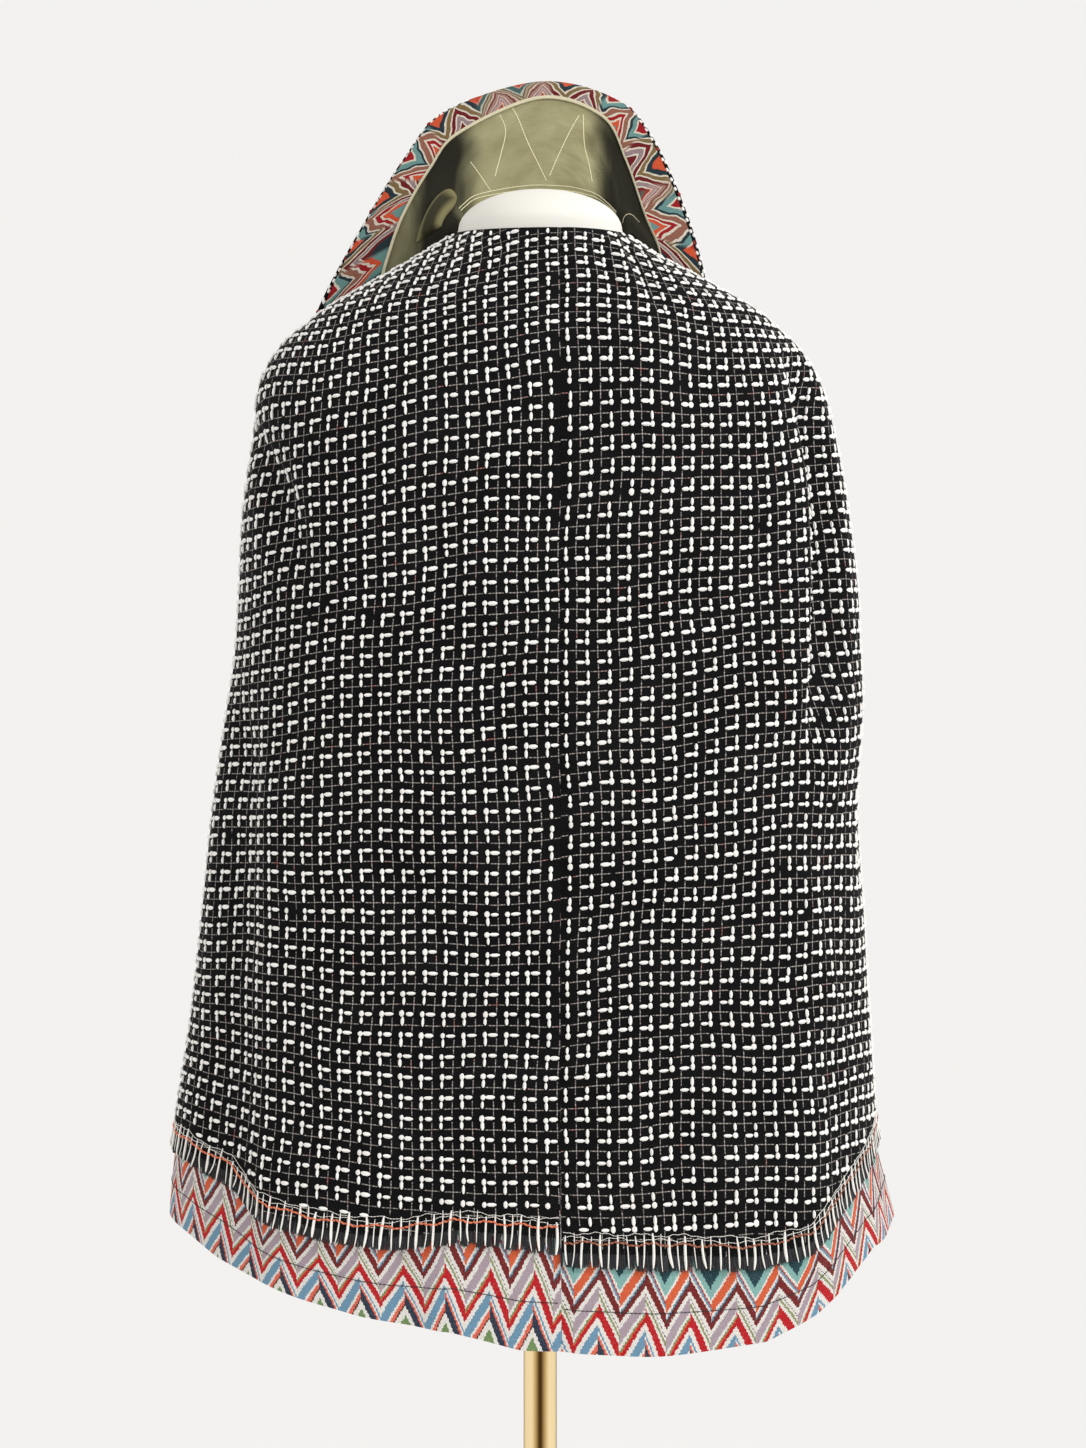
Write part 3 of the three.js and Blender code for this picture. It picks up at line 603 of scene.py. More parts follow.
def tubes(centres, across, up, ups, sides):
    """Closed tubes along rows of points (tubes, points, 3): a round section around each point, spread by
    across to the side and by up along the direction ups."""
    ahead = np.gradient(centres, axis=1)
    ahead /= np.linalg.norm(ahead, axis=-1, keepdims=True)
    side = np.cross(ahead, ups)
    side /= np.linalg.norm(side, axis=-1, keepdims=True)
    lift = np.cross(side, ahead)
    turn = np.linspace(0, 2 * np.pi, sides, endpoint=False)
    spread = across[..., None, None] * side[:, :, None] * np.cos(turn)[:, None]
    spread = spread + up[..., None, None] * lift[:, :, None] * np.sin(turn)[:, None]
    points = centres[:, :, None] + spread
    count, steps = centres.shape[:2]
    at = np.arange(count * steps * sides).reshape(count, steps, sides)
    nxt = np.roll(at, -1, axis=2)
    quads = np.stack([at[:, :-1], at[:, 1:], nxt[:, 1:], nxt[:, :-1]], axis=-1).reshape(-1, 4)
    caps = np.concatenate([at[:, 0], at[:, -1, ::-1]])
    return points.reshape(-1, 3), quads.tolist() + caps.tolist()


def make_yarns(name, centres, across, up, ups, sides, finish):
    """One mesh of tubes."""
    return make_piece(name, *tubes(centres, across, up, ups, sides), finish)


# %% [markdown]
# ## Tweed
#
# The tweed is a basket weave of black and charcoal yarns. Every 14 mm a thick white yarn crosses in both
# directions and comes up in short floats: a round one at the crossing, one beside it and one below it.
# Between the thick yarns runs a single thin pale yarn each way. The ground and the thin yarns are drawn by
# the material, from the place on the flat cloth. The white floats stand up, so they are modelled one by one.

# %% Tweed finish
REPEAT = 14.3
THIN_YARN_ACROSS, THIN_YARN_DOWN, THIN_YARN_HALF_WIDTH = 0.53, 0.53, 0.021
BEADS = 6.0
GROUND_YARNS = 8


def yarn_line(finish, place, centre, half_width):
    """1 on a line that comes back every repeat, and 0 away from it."""
    off = abs(finish.math("FRACT", place - centre + 0.5) - 0.5)
    return 1 - finish.step(off, 0.6 * half_width, 1.5 * half_width)


def beads(finish, place):
    """The swellings along a thin yarn, and the dimmer stretches between them."""
    return 0.42 + 0.58 * finish.step(finish.wave(place, 1 / BEADS), -0.2, 0.8)


def tweed_finish():
    """Black basket weave with greyish flecks. A thin yarn shows as a row of beads, dim where the other yarns
    cover it, and it dips below the thick yarns. Here and there it is a pale red."""
    finish = Finish("tweed")
    u, v, _ = finish.split(finish.cloth_map())
    wander = finish.noise(finish.cloth_map(), 1.3, 1.0) - 0.5
    u, v = u + wander * 0.05, v + wander * 0.07
    spot = finish.join(u, v)
    weave = finish.wave(u, 1 / GROUND_YARNS) * finish.wave(v, 1 / GROUND_YARNS)
    fleck = finish.noise(spot, 26.0, 3.0, 0.65)
    cloud = finish.waver(spot, 0.22, 2.0, 0.4)
    lift = finish.math("ADD", weave * 0.26 + (fleck - 0.5) * 1.6, 0.30 + cloud, clamp=True)
    ground = finish.ramp(lift, [
        (0.0, srgb(2, 2, 3)),
        (0.45, srgb(13, 13, 15)),
        (0.72, srgb(38, 38, 40)),
        (1.0, srgb(112, 112, 108)),
    ])
    warp = yarn_line(finish, u, THIN_YARN_ACROSS, THIN_YARN_HALF_WIDTH)
    weft = yarn_line(finish, v, THIN_YARN_DOWN, THIN_YARN_HALF_WIDTH)
    under_warp = 1 - yarn_line(finish, v, 0.02, 0.16)
    under_weft = 1 - yarn_line(finish, u, 0.0, 0.12)
    warp, weft = warp * under_warp * beads(finish, v), weft * under_weft * beads(finish, u)
    thread = finish.math("MAXIMUM", warp, weft)
    broken = finish.step(finish.noise(spot, 4.0, 2.0), 0.34, 0.56)
    thread = thread * (0.35 + broken * 0.65)
    tint = finish.step(finish.noise(spot, 1.3, 1.0), 0.62, 0.76)
    thread_colour = finish.mix(tint, srgb(188, 180, 174), srgb(196, 128, 124))
    colour = finish.mix(thread, ground, thread_colour)
    height = weave * 0.5 + thread * 1.2 + fleck * 0.8
    bumps = finish.bump(height, 0.0006, 0.7)
    return finish.done(Base_Color=colour, Roughness=0.95, Normal=bumps, Specular_IOR_Level=0.12)


def slub_finish():
    finish = Finish("white slub yarn")
    fuzz = finish.noise(finish.place(), 1400.0, 3.0, 0.6)
    patch = finish.noise(finish.place(), 60.0, 2.0)
    colour = finish.mix(fuzz, srgb(232, 230, 225), srgb(250, 249, 246))
    colour = finish.mix(finish.step(patch, 0.4, 0.8) * 0.3, colour, srgb(206, 199, 190))
    bumps = finish.bump(fuzz, 0.0004)
    return finish.done(
        Base_Color=colour, Roughness=0.9, Normal=bumps, Sheen_Weight=0.2, Sheen_Roughness=0.5
    )


TWEED_FINISH = tweed_finish()
SLUB_FINISH = slub_finish()
print("tweed nodes:", len(TWEED_FINISH.node_tree.nodes))

# %% [markdown]
# ## Where each thread lies on the panels
#
# Woven cloth keeps its threads: rows of the weave lie level round the body and columns hang down, whatever
# the cut of the hem. So a point's place on the flat cloth is how far it lies round the body from the centre
# seam, and how far down, less what its ring rises above the level of the back. The rows also lean a little,
# because the cape hangs turned. The two back panels are cut opposite ways up.

# %% Panels and their charts
PANELS = {
    "back_left": {"angles": (-97, 0), "seam": 1, "turned": 1, "corner": -8.2},
    "back_right": {"angles": (0, 97), "seam": 0, "turned": -1, "corner": 5.1},
    "front": {"angles": (97, 263), "seam": 0, "turned": 1, "corner": 4.0},
}
HALF_SEAM = 0.03
LEVEL_FROM = 180
LEAN = {
    "back_left": columns("length lean", (0, 0.03), (300, 0.10), (520, 0.03), (713, -0.10), (780, -0.12)),
    "back_right": columns("length lean", (0, 0.05), (300, 0.085), (520, 0.05), (713, 0.03), (780, 0.02)),
    "front": columns("length lean", (0, 0.0), (400, 0.0), (780, 0.0)),
}
WAVES = [(2.0, 310, 620, 0.4), (0.9, 138, -360, 2.1), (0.5, 74, 190, 4.4)]


def wander(across, down, start):
    """A yarn is never quite straight. Each wave of a size, a period across, a period down and a turn adds
    size · sin(2π (across / first period + down / second period) + turn + start)."""
    return sum(
        size * np.sin(2 * np.pi * (across / across_wave + down / down_wave) + turn + start)
        for size, across_wave, down_wave, turn in WAVES
    )


def cloth_place(panel, angle, length, points):
    """Millimetres across and down the flat cloth, for a grid of points (angles by lengths)."""
    across = run_along(points[..., :2])
    across = across - PANELS[panel]["seam"] * across[-1]
    below = np.maximum(length, LEVEL_FROM)
    rise = cape_surface(angle, below, fine=False)[..., 2] - ring("z_back", below)
    lean = hermite(LEAN[panel]["length"], LEAN[panel]["lean"], length)
    down = length - rise + lean * across
    return across + 0.7 * wander(down, across, 1.0), down + wander(across, down, 0.0)


def weave_chart(panel, across, down):
    """The same in repeats of the weave, counted from a crossing of the thick yarns."""
    facing = PANELS[panel]["turned"]
    place = np.stack([facing * (across - PANELS[panel]["corner"]), facing * down], axis=-1)
    return place / REPEAT


# %% Tweed panels
PANEL_STEP = {"back_left": 4.0, "back_right": 4.0, "front": 5.6}
MM_PER_DEGREE = 4.2


def panel_angles(panel, step):
    first, last = PANELS[panel]["angles"]
    count = int((last - first) * MM_PER_DEGREE / step)
    return np.linspace(first + HALF_SEAM, last - HALF_SEAM, count)


def make_panel(panel):
    step = PANEL_STEP[panel]
    a = panel_angles(panel, step)
    b = np.linspace(0, TWEED_LENGTH, int(TWEED_LENGTH / step))
    points, faces, (angle, length, middle) = wall(cape_surface, cape_normals, a, b, -TWEED, 0)
    across, down = cloth_place(panel, angle, length, middle)
    chart = weave_chart(panel, across, down)
    piece = make_piece(f"{panel}_cloth", points, faces, TWEED_FINISH, chart)
    return piece, (angle, length, across, down)


panels = {name: make_panel(name) for name in PANELS}

# %% [markdown]
# ## White floats
#
# To put a float at a crossing, its place on the flat cloth has to be turned back into an angle and a length.
# Newton's way does that for all crossings at once: read the chart at a guess, see how far it is off, and step
# by the chart's slope. A few rounds are enough, because the chart is smooth. The floats are short spindles,
# a little different each time.

# %% From the flat cloth back to the surface
def sample(values, i, j):
    """Values of a grid between its points, from the four around each place."""
    rows, cols = values.shape
    i0 = np.clip(np.floor(i).astype(int), 0, rows - 2)
    j0 = np.clip(np.floor(j).astype(int), 0, cols - 2)
    s, t = i - i0, j - j0
    low = values[i0, j0] * (1 - t) + values[i0, j0 + 1] * t
    high = values[i0 + 1, j0] * (1 - t) + values[i0 + 1, j0 + 1] * t
    return low * (1 - s) + high * s


def value_and_slopes(chart, i, j):
    """A chart at places between its points, and how fast it changes there along i and along j."""
    along_i = sample(chart, i + 0.5, j) - sample(chart, i - 0.5, j)
    along_j = sample(chart, i, j + 0.5) - sample(chart, i, j - 0.5)
    return sample(chart, i, j), along_i, along_j


NEWTON_ROUNDS, NEWTON_STEP, LEAST_SLOPE, CLOSE_ENOUGH = 14, 12, 0.2, 0.6


def find_on_grid(grids, target_across, target_down):
    """Newton's way: the grid places where the two charts have the wanted values. Each step is limited, and
    so is how small the slopes' determinant may be."""
    first_axis, second_axis, across, down = grids
    rows, cols = across.shape
    share = (target_across - across.min()) / (across.max() - across.min())
    i = share * (rows - 1)
    j = np.clip((target_down - down.min()) / (down.max() - down.min()), 0, 1) * (cols - 1)
    for _ in range(NEWTON_ROUNDS):
        i, j = np.clip(i, -3, rows + 2), np.clip(j, -3, cols + 2)
        across_at, a_i, a_j = value_and_slopes(across, i, j)
        down_at, d_i, d_j = value_and_slopes(down, i, j)
        off_a, off_d = across_at - target_across, down_at - target_down
        det = a_i * d_j - a_j * d_i
        det = np.where(abs(det) < LEAST_SLOPE, LEAST_SLOPE, det)
        i = i - np.clip((off_a * d_j - off_d * a_j) / det, -NEWTON_STEP, NEWTON_STEP)
        j = j - np.clip((off_d * a_i - off_a * d_i) / det, -NEWTON_STEP, NEWTON_STEP)
    inside = (i > 0.3) & (i < rows - 1.3) & (j > 0.3) & (j < cols - 1.3)
    off = abs(sample(across, i, j) - target_across) + abs(sample(down, i, j) - target_down)
    found = off < CLOSE_ENOUGH
    keep = inside & found
    return sample(first_axis, i, j), sample(second_axis, i, j), keep


# %% Floats
FLOATS = columns(
    "across down half_across half_down",
    (0.0, 0.0, 1.7, 2.05),
    (5.0, -0.1, 3.1, 1.45),
    (0.1, 5.1, 1.2, 2.8),
)
FLOAT_HEIGHT = 1.2
FLOAT_SHARES = np.array([0.0, 0.28, 0.72, 1.0])
FLOAT_SHAPE = np.array([0.42, 0.98, 0.98, 0.42])
FLOAT_SIDES = {"back_left": 5, "back_right": 5, "front": 4}
FLOAT_JITTER = 0.22
FRAYED = 12
MISSING = 0.004
dice = np.random.default_rng(7)


def float_targets(across, down, turned, corner):
    """Places of all floats on the flat cloth: every repeat's corner plus each float's own offset."""
    first = np.floor((across.min() - corner) / REPEAT) - 1
    columns_of = np.arange(first, np.ceil((across.max() - corner) / REPEAT) + 2)
    rows_of = np.arange(np.floor(down.min() / REPEAT) - 1, np.ceil(down.max() / REPEAT) + 2)
    col, row = [grid.ravel() for grid in np.meshgrid(columns_of, rows_of, indexing="ij")]
    kinds = len(FLOATS["across"])
    kind = np.repeat(np.arange(kinds), len(col))
    col, row = np.tile(col, kinds), np.tile(row, kinds)
    jitter = dice.normal(0, FLOAT_JITTER, (2, len(kind)))
    target_across = corner + col * REPEAT + turned * FLOATS["across"][kind] + jitter[0]
    target_down = row * REPEAT + turned * FLOATS["down"][kind] + jitter[1]
    return kind, target_across, target_down


def make_floats(name, grids, surface, normal_of, lift, turned, corner, sides=5, stop=np.inf):
    """Spindles on a surface, each along the cloth's column or row where it lies, up to a length."""
    kind, target_across, target_down = float_targets(grids[2], grids[3], turned, corner)
    along_down = FLOATS["half_down"][kind] > FLOATS["half_across"][kind]
    long_half = np.where(along_down, FLOATS["half_down"][kind], FLOATS["half_across"][kind])
    short_half = np.where(along_down, FLOATS["half_across"][kind], FLOATS["half_down"][kind])
    long_half = long_half * dice.uniform(0.84, 1.16, len(kind))
    short_half = short_half * dice.uniform(0.84, 1.14, len(kind))
    present = dice.uniform(size=len(kind)) > MISSING
    ends = []
    keep = present
    for sign in (-0.95, 0.95):
        off_a = np.where(along_down, 0, sign * long_half)
        off_d = np.where(along_down, sign * long_half, 0)
        a, b, ok = find_on_grid(grids, target_across + off_a, target_down + off_d)
        keep = keep & ok & (b < stop)
        ends.append((a, b))
    (a0, b0), (a1, b1) = [(a[keep], b[keep]) for a, b in ends]
    a = a0[:, None] + (a1 - a0)[:, None] * FLOAT_SHARES
    b = b0[:, None] + (b1 - b0)[:, None] * FLOAT_SHARES
    ups = normal_of(a, b)
    centres = surface(a, b) + ups * (lift + 0.45 * FLOAT_SHAPE - 0.1)[..., None]
    across = short_half[keep][:, None] * FLOAT_SHAPE
    up = FLOAT_HEIGHT * dice.uniform(0.8, 1.15, keep.sum())[:, None] * FLOAT_SHAPE
    return make_yarns(name, centres, across, up, ups, sides, SLUB_FINISH)


def panel_floats(panel):
    _, grids = panels[panel]
    facts = PANELS[panel]
    way = facts["turned"], facts["corner"], FLOAT_SIDES[panel]
    stop = TWEED_LENGTH - FRAYED
    return make_floats(f"{panel}_floats", grids, cape_surface, cape_normals, 0.0, *way, stop)


floats = {name: panel_floats(name) for name in PANELS}

# %% [markdown]
# ## Frayed edge
#
# Below a line of stitching the cross threads are pulled out, and what is left hangs as fringe: a white thick
# yarn, then a tuft of fine black ones, over and over. Each thread starts on the cloth and follows the way the
# cape flares, with a bend of its own. A black thread has three sides only, because there are so many.

# %% Fringe
FRINGE_LENGTH, FRINGE_PITCH, TUFT_THREADS = 9.0, 5.9, 9
STITCH_ABOVE_EDGE = 6.0
STRAND_SHAPE = [0.5, 0.85, 1.0, 0.95, 1.05, 0.9, 0.45]
TUFT_SHAPE = [1.0] * 6 + [0.9]


def edge_steps(panel, length, pitch):
    """Angles that cut the edge into equal steps of about the pitch."""
    first, last = PANELS[panel]["angles"]
    angle = np.linspace(first + HALF_SEAM, last - HALF_SEAM, 900)
    run = run_along(cape_surface(angle, np.full_like(angle, length)))
    count = int(run[-1] / pitch)
    return np.interp((np.arange(count) + 0.5) * run[-1] / count, run, angle), run[-1]


def hang_threads(angle, from_length, reach, sway, splay, lift, bow):
    """Paths down the cape's own surface and past its edge, with a bend that grows with the square of the way
    down: sway to the side in degrees, splay outwards in millimetres. A bow swings out and back again."""
    share = np.linspace(0, 1, len(STRAND_SHAPE))
    length = from_length[:, None] + reach[:, None] * share
    turn = angle[:, None] + sway[:, None] * share**2 + np.outer(bow, np.sin(np.pi * share))
    out = cape_normals(turn, length)
    below = np.clip((length - TWEED_LENGTH) / FRINGE_LENGTH, 0, 1)
    rise = lift[:, None] * (1 - below) + (splay[:, None] - 1.0) * below
    return cape_surface(turn, length) + out * rise[..., None], out


def yarn_finish(name, dark, light):
    finish = Finish(name)
    fibre = finish.noise(finish.place(), 900.0, 3.0, 0.6)
    colour = finish.mix(fibre, dark, light)
    return finish.done(Base_Color=colour, Roughness=0.9, Normal=finish.bump(fibre, 0.0003))


WHITE_YARN = yarn_finish("white fringe yarn", srgb(214, 210, 202), srgb(252, 250, 245))
BLACK_YARN = yarn_finish("black fringe yarn", srgb(18, 18, 20), srgb(66, 66, 70))


def white_strands(panel, starts, pitch):
    """Strands by turns thick and thin. Each leans towards a neighbour and has a bow of its own."""
    count = len(starts)
    order = np.arange(count)
    lean = np.where(order % 4 < 2, 1, -1) * (order % 2 * 2 - 1)
    sway = -lean * pitch * dice.uniform(-0.05, 0.34, count)
    bow = dice.normal(0, 0.14, count)
    begin = TWEED_LENGTH - STITCH_ABOVE_EDGE - dice.uniform(2.5, 7.5, count)
    reach = TWEED_LENGTH + FRINGE_LENGTH - 0.6 + dice.normal(0, 0.9, count) - begin
    splay = 1.4 + dice.uniform(0, 1.6, count)
    paths, out = hang_threads(starts, begin, reach, sway, splay, np.full(count, 0.3), bow)
    thick = np.where(order % 2 == 0, dice.uniform(0.6, 1.15, count), dice.uniform(0.34, 0.6, count))
    radius = np.outer(thick, STRAND_SHAPE)
    return make_yarns(f"{panel}_fringe_white", paths, radius, radius * 0.85, out, 5, WHITE_YARN)


def black_tufts(panel, starts, pitch):
    """A tuft of fine threads half way between each two strands. A tuft has one sway and one reach, from which
    its threads differ a little."""
    count = len(starts)
    spot = np.repeat(starts + pitch / 2, TUFT_THREADS)
    total = len(spot)
    spread = np.tile(np.linspace(-0.46, 0.46, TUFT_THREADS), count) * pitch
    tuft_sway = np.repeat(dice.normal(0, 0.16, count), TUFT_THREADS)
    sway = tuft_sway - spread * 0.1 + dice.normal(0, 0.06, total)
    lift = dice.uniform(-1.4, -0.2, total)
    begin = np.full(total, TWEED_LENGTH - 2.0)
    tuft_reach = np.repeat(dice.normal(0, 0.5, count), TUFT_THREADS)
    reach = FRINGE_LENGTH + 2 + tuft_reach + dice.normal(0, 0.4, total)
    splay = dice.uniform(0.0, 1.6, total)
    paths, out = hang_threads(spot + spread, begin, reach, sway, splay, lift, np.zeros(total))
    radius = np.outer(dice.uniform(0.4, 0.56, total), TUFT_SHAPE)
    return make_yarns(f"{panel}_fringe_black", paths, radius, radius, out, 3, BLACK_YARN)


def make_fringe(panel):
    """Both kinds of fringe along a panel's edge, and the edge's length in millimetres."""
    starts, width = edge_steps(panel, TWEED_LENGTH, FRINGE_PITCH)
    pitch = np.diff(starts).mean()
    return white_strands(panel, starts, pitch), black_tufts(panel, starts, pitch), width


fringes = {name: make_fringe(name) for name in PANELS}

# %% [markdown]
# ## The line of stitching above the fringe
#
# A thick two-ply thread runs along the tweed, some millimetres above its raw edge, and keeps the weave from
# fraying further. It is bright orange on the left and browner on the right. Each stitch is a small spindle
# that lies at a slight slant, so that the line looks twisted. Above it, two thin white yarns lie close
# together, because they were pushed up when the edge was frayed.

# %% Stitches
def make_stitches(name, surface, normal_of, a, b, half_width, height, slant, lift, finish):
    """Spindles between each two neighbouring points of a path given by its surface coordinates."""
    share = np.array([0.04, 0.5, 0.96])
    turn = a[:-1, None] + np.diff(a)[:, None] * share
    down = b[:-1, None] + np.diff(b)[:, None] * share + slant * (share - 0.5)
    ups = normal_of(turn, down)
    centres = surface(turn, down) + ups * (lift + height * np.array([-0.2, 0.5, -0.2]))[..., None]
    shape = np.ones((len(a) - 1, 1)) * np.array([0.6, 1.0, 0.6])
    return make_yarns(name, centres, half_width * shape, height * shape, ups, 5, finish)


ORANGE_THREAD = yarn_finish("orange thread", srgb(188, 74, 46), srgb(234, 142, 104))
BROWN_THREAD = yarn_finish("brown thread", srgb(112, 62, 46), srgb(178, 112, 84))
EDGE_STITCH = 3.4


def edge_stitches(panel, finish):
    a, _ = edge_steps(panel, TWEED_LENGTH, EDGE_STITCH)
    b = TWEED_LENGTH - STITCH_ABOVE_EDGE + 0.9 * np.sin(a * 0.9) + 0.4 * np.sin(a * 3.1)
    name = f"{panel}_edge_stitches"
    return make_stitches(name, cape_surface, cape_normals, a, b, 0.8, 0.6, 0.7, 0.45, finish)


PUSHED_YARNS = (2.6, 5.4)


def pushed_yarn(panel, above):
    a, _ = edge_steps(panel, TWEED_LENGTH, 2.2)
    b = TWEED_LENGTH - STITCH_ABOVE_EDGE - above + 0.8 * np.sin(a * 0.7 + above) + 0.4 * np.sin(a * 2.3)
    name = f"{panel}_pushed_yarn_{above:.0f}"
    return make_stitches(name, cape_surface, cape_normals, a, b, 0.26, 0.3, 0.0, 0.1, WHITE_YARN)


EDGE_THREADS = {"back_left": ORANGE_THREAD, "back_right": BROWN_THREAD, "front": ORANGE_THREAD}
edge_lines = {name: edge_stitches(name, thread) for name, thread in EDGE_THREADS.items()}
pushed_yarns = {name: [pushed_yarn(name, above) for above in PUSHED_YARNS] for name in PANELS}

# %% [markdown]
# ## Chevron jacquard
#
# The longer layer is a jacquard of zigzag stripes, an old flame-stitch idea. Each leg of the zigzag has its
# own row of stripes: one that is thick on the falling leg is thin on the rising leg, and then the other way
# round. Where two legs meet, the stripes of one end against the stripes of the other. So the material has one
# colour ramp for each leg, and both are read along the same zigzag.

# %% Jacquard finish
ZIGZAG_PERIOD, ZIGZAG_RISE, FALLING_SHARE = 33.0, 29.3, 0.45
CHART_TOP, CHART_HEIGHT = -34.0, 114.0
YARNS = {
    "cream": srgb(236, 233, 226),
    "maroon": srgb(122, 32, 32),
    "red": srgb(194, 20, 30),
    "mauve": srgb(178, 160, 170),
    "dusk": srgb(112, 84, 92),
    "olive": srgb(146, 154, 106),
    "sky": srgb(112, 154, 182),
    "salmon": srgb(230, 108, 84),
    "navy": srgb(42, 54, 74),
    "aqua": srgb(138, 186, 180),
    "teal": srgb(32, 68, 76),
    "orange": srgb(222, 98, 58),
    "rust": srgb(176, 68, 50),
    "green": srgb(116, 146, 92),
    "brown": srgb(86, 50, 46),
}
FALLING_STRIPES = [
    (-34, "teal"), (-20, "aqua"), (-12, "cream"), (-8.5, "rust"), (-6, "sky"), (-3, "cream"),
    (0, "maroon"), (10.5, "cream"), (16, "dusk"), (17, "cream"), (19.5, "olive"), (23, "cream"),
    (27, "red"), (37.5, "cream"), (44, "sky"), (47, "cream"), (49, "salmon"), (52, "navy"),
    (62.5, "cream"), (68.5, "green"), (75, "olive"),
]
RISING_STRIPES = [
    (-34, "teal"), (-22, "aqua"), (-13, "cream"), (-10, "orange"), (0, "cream"), (3, "sky"),
    (5, "brown"), (7, "maroon"), (11, "cream"), (16, "mauve"), (26.5, "cream"), (30, "green"),
    (31.5, "orange"), (33, "red"), (37.5, "cream"), (43, "sky"), (53, "cream"), (56, "salmon"),
    (60.5, "brown"), (62.5, "cream"), (69, "green"), (75, "olive"),
]
WOVEN_STEP = 1.4


def chart_stops(chart, yarns, top, height):
    """A chart of stripes as the stops of a colour ramp, from 0 at its top to 1 at its end."""
    return [((place - top) / height, yarns[yarn]) for place, yarn in chart]


def zigzag(finish, across):
    """How high the zigzag is, from 0 in a valley to 1 at a peak, and whether this is the rising leg."""
    phase = finish.math("FRACT", across / ZIGZAG_PERIOD)
    falling = 1 - phase / FALLING_SHARE
    rising = (phase - FALLING_SHARE) / (1 - FALLING_SHARE)
    return finish.math("MAXIMUM", falling, rising), finish.math("GREATER_THAN", phase, FALLING_SHARE)


def woven(finish, spot, across, down):
    """Rows of small dots, as each weft yarn crosses the warp, and a grain of its own over them."""
    shift = finish.wave(down, 3.0) * 1.6
    dot = finish.math("SINE", across * (2 * np.pi / 1.25) + shift)
    return finish.wave(down, 1.5) * dot, finish.noise(spot, 1.5, 2.0, 0.6)


def jacquard_finish():
    finish = Finish("chevron jacquard")
    across, down, _ = finish.split(finish.cloth_map())
    spot = finish.join(across, down)
    stepped = finish.math("SNAP", across, WOVEN_STEP)
    drift = finish.waver(spot, 0.035, 1.0, 3.0)
    ragged = finish.waver(spot, 0.6, 2.0, 2.2)
    sway = finish.waver(spot, 0.3, 1.0, 1.6)
    height, rising = zigzag(finish, stepped * 0.55 + across * 0.45 + sway)
    place = down + drift + ragged - (1 - height) * ZIGZAG_RISE
    share = finish.math("FRACT", (place - CHART_TOP) / CHART_HEIGHT)
    legs = [
        finish.ramp(share, chart_stops(stripes, YARNS, CHART_TOP, CHART_HEIGHT), hard=True)
        for stripes in (FALLING_STRIPES, RISING_STRIPES)
    ]
    colour = finish.mix(rising, *legs)
    dots, grain = woven(finish, spot, across, down)
    shade = finish.math("ADD", dots * 0.55, (grain - 0.40) * 1.5, clamp=True)
    colour = finish.mix(shade * 0.62, colour, srgb(104, 92, 100), "MULTIPLY")
    colour = finish.mix(finish.step(grain - dots * 0.12, 0.60, 0.74) * 0.2, colour, srgb(244, 241, 234))
    bumps = finish.bump(dots * 0.5 + grain, 0.0006, 0.7)
    return finish.done(Base_Color=colour, Roughness=0.85, Normal=bumps, Specular_IOR_Level=0.25)


JACQUARD_FINISH = jacquard_finish()
print("jacquard nodes:", len(JACQUARD_FINISH.node_tree.nodes))

# %% [markdown]
# ## The longer layer
#
# The jacquard hangs just behind the tweed and shows below its fringe. Its stripes follow its cut edge for the
# most part: they sink towards the middle of the back, but not quite as fast as the edge does. The right
# panel's stripes lie lower than the left one's, so the zigzags don't meet at the seam.

# %% Hem layer
JACQUARD, LAYER_GAP = 1.8, 0.9
HEM_OUTER = -TWEED - LAYER_GAP
FOLLOW_EDGE = 0.8
STRIPES = {
    "back_left": {"at_edge": 76.5, "start": 22.2, "finer_across": 1.13, "sink": [0, 0, 0, 0, 0]},
    "back_right": {"at_edge": 65.7, "start": 8.2, "finer_across": 1.05, "sink": [0, 12, 14, 0, -6]},
    "front": {"at_edge": 70, "start": 0, "finer_across": 1.08, "sink": [0, 0, 0, 0, 0]},
}
SINK_AT = [0, 100, 150, 200, 260]
FINER_DOWN = 1.08
HEM_LINE_UP = 28
HEM_STEP, HEM_ROWS = 3.3, 34


def hem_chart(panel, angle, length, middle):
    """Across in millimetres from the seam, and down as places on the stripe chart."""
    across, down = cloth_place(panel, angle, length, middle)
    level = FULL_LENGTH - length
    follow = FOLLOW_EDGE * level + (1 - FOLLOW_EDGE) * (FULL_LENGTH - down)
    facts = STRIPES[panel]
    sunk = np.interp(across, SINK_AT, facts["sink"])
    return np.stack([
        facts["finer_across"] * across + facts["start"], facts["at_edge"] - FINER_DOWN * follow - sunk
    ], axis=-1)


def hem_wave(angle, length):
    """A soft wave that grows towards the free edge."""
    grow = smoothstep(length, TWEED_LENGTH, FULL_LENGTH)
    return grow * (1.1 * np.sin(angle * 0.21 + 0.7) + 0.8 * np.sin(angle * 0.47))


def hem_surface(angle, length):
    """The cape's surface, moved by the wave straight away from the pole."""
    points = cape_surface(angle, length)
    away = points * np.array([1, 1, 0])
    away /= np.linalg.norm(away, axis=-1, keepdims=True)
    return points + away * hem_wave(angle, length)[..., None]


hem_normals = normals_of(hem_surface, *CAPE_STEPS)


def make_hem(panel):
    a = panel_angles(panel, HEM_STEP)
    b = np.linspace(TWEED_LENGTH - UNDERLAP, FULL_LENGTH, HEM_ROWS)
    inner, outer = HEM_OUTER - JACQUARD, HEM_OUTER
    points, faces, grid = wall(hem_surface, hem_normals, a, b, inner, outer)
    return make_piece(f"{panel}_hem", points, faces, JACQUARD_FINISH, hem_chart(panel, *grid))


DARK_THREAD = yarn_finish("dark thread", srgb(22, 20, 24), srgb(56, 50, 54))


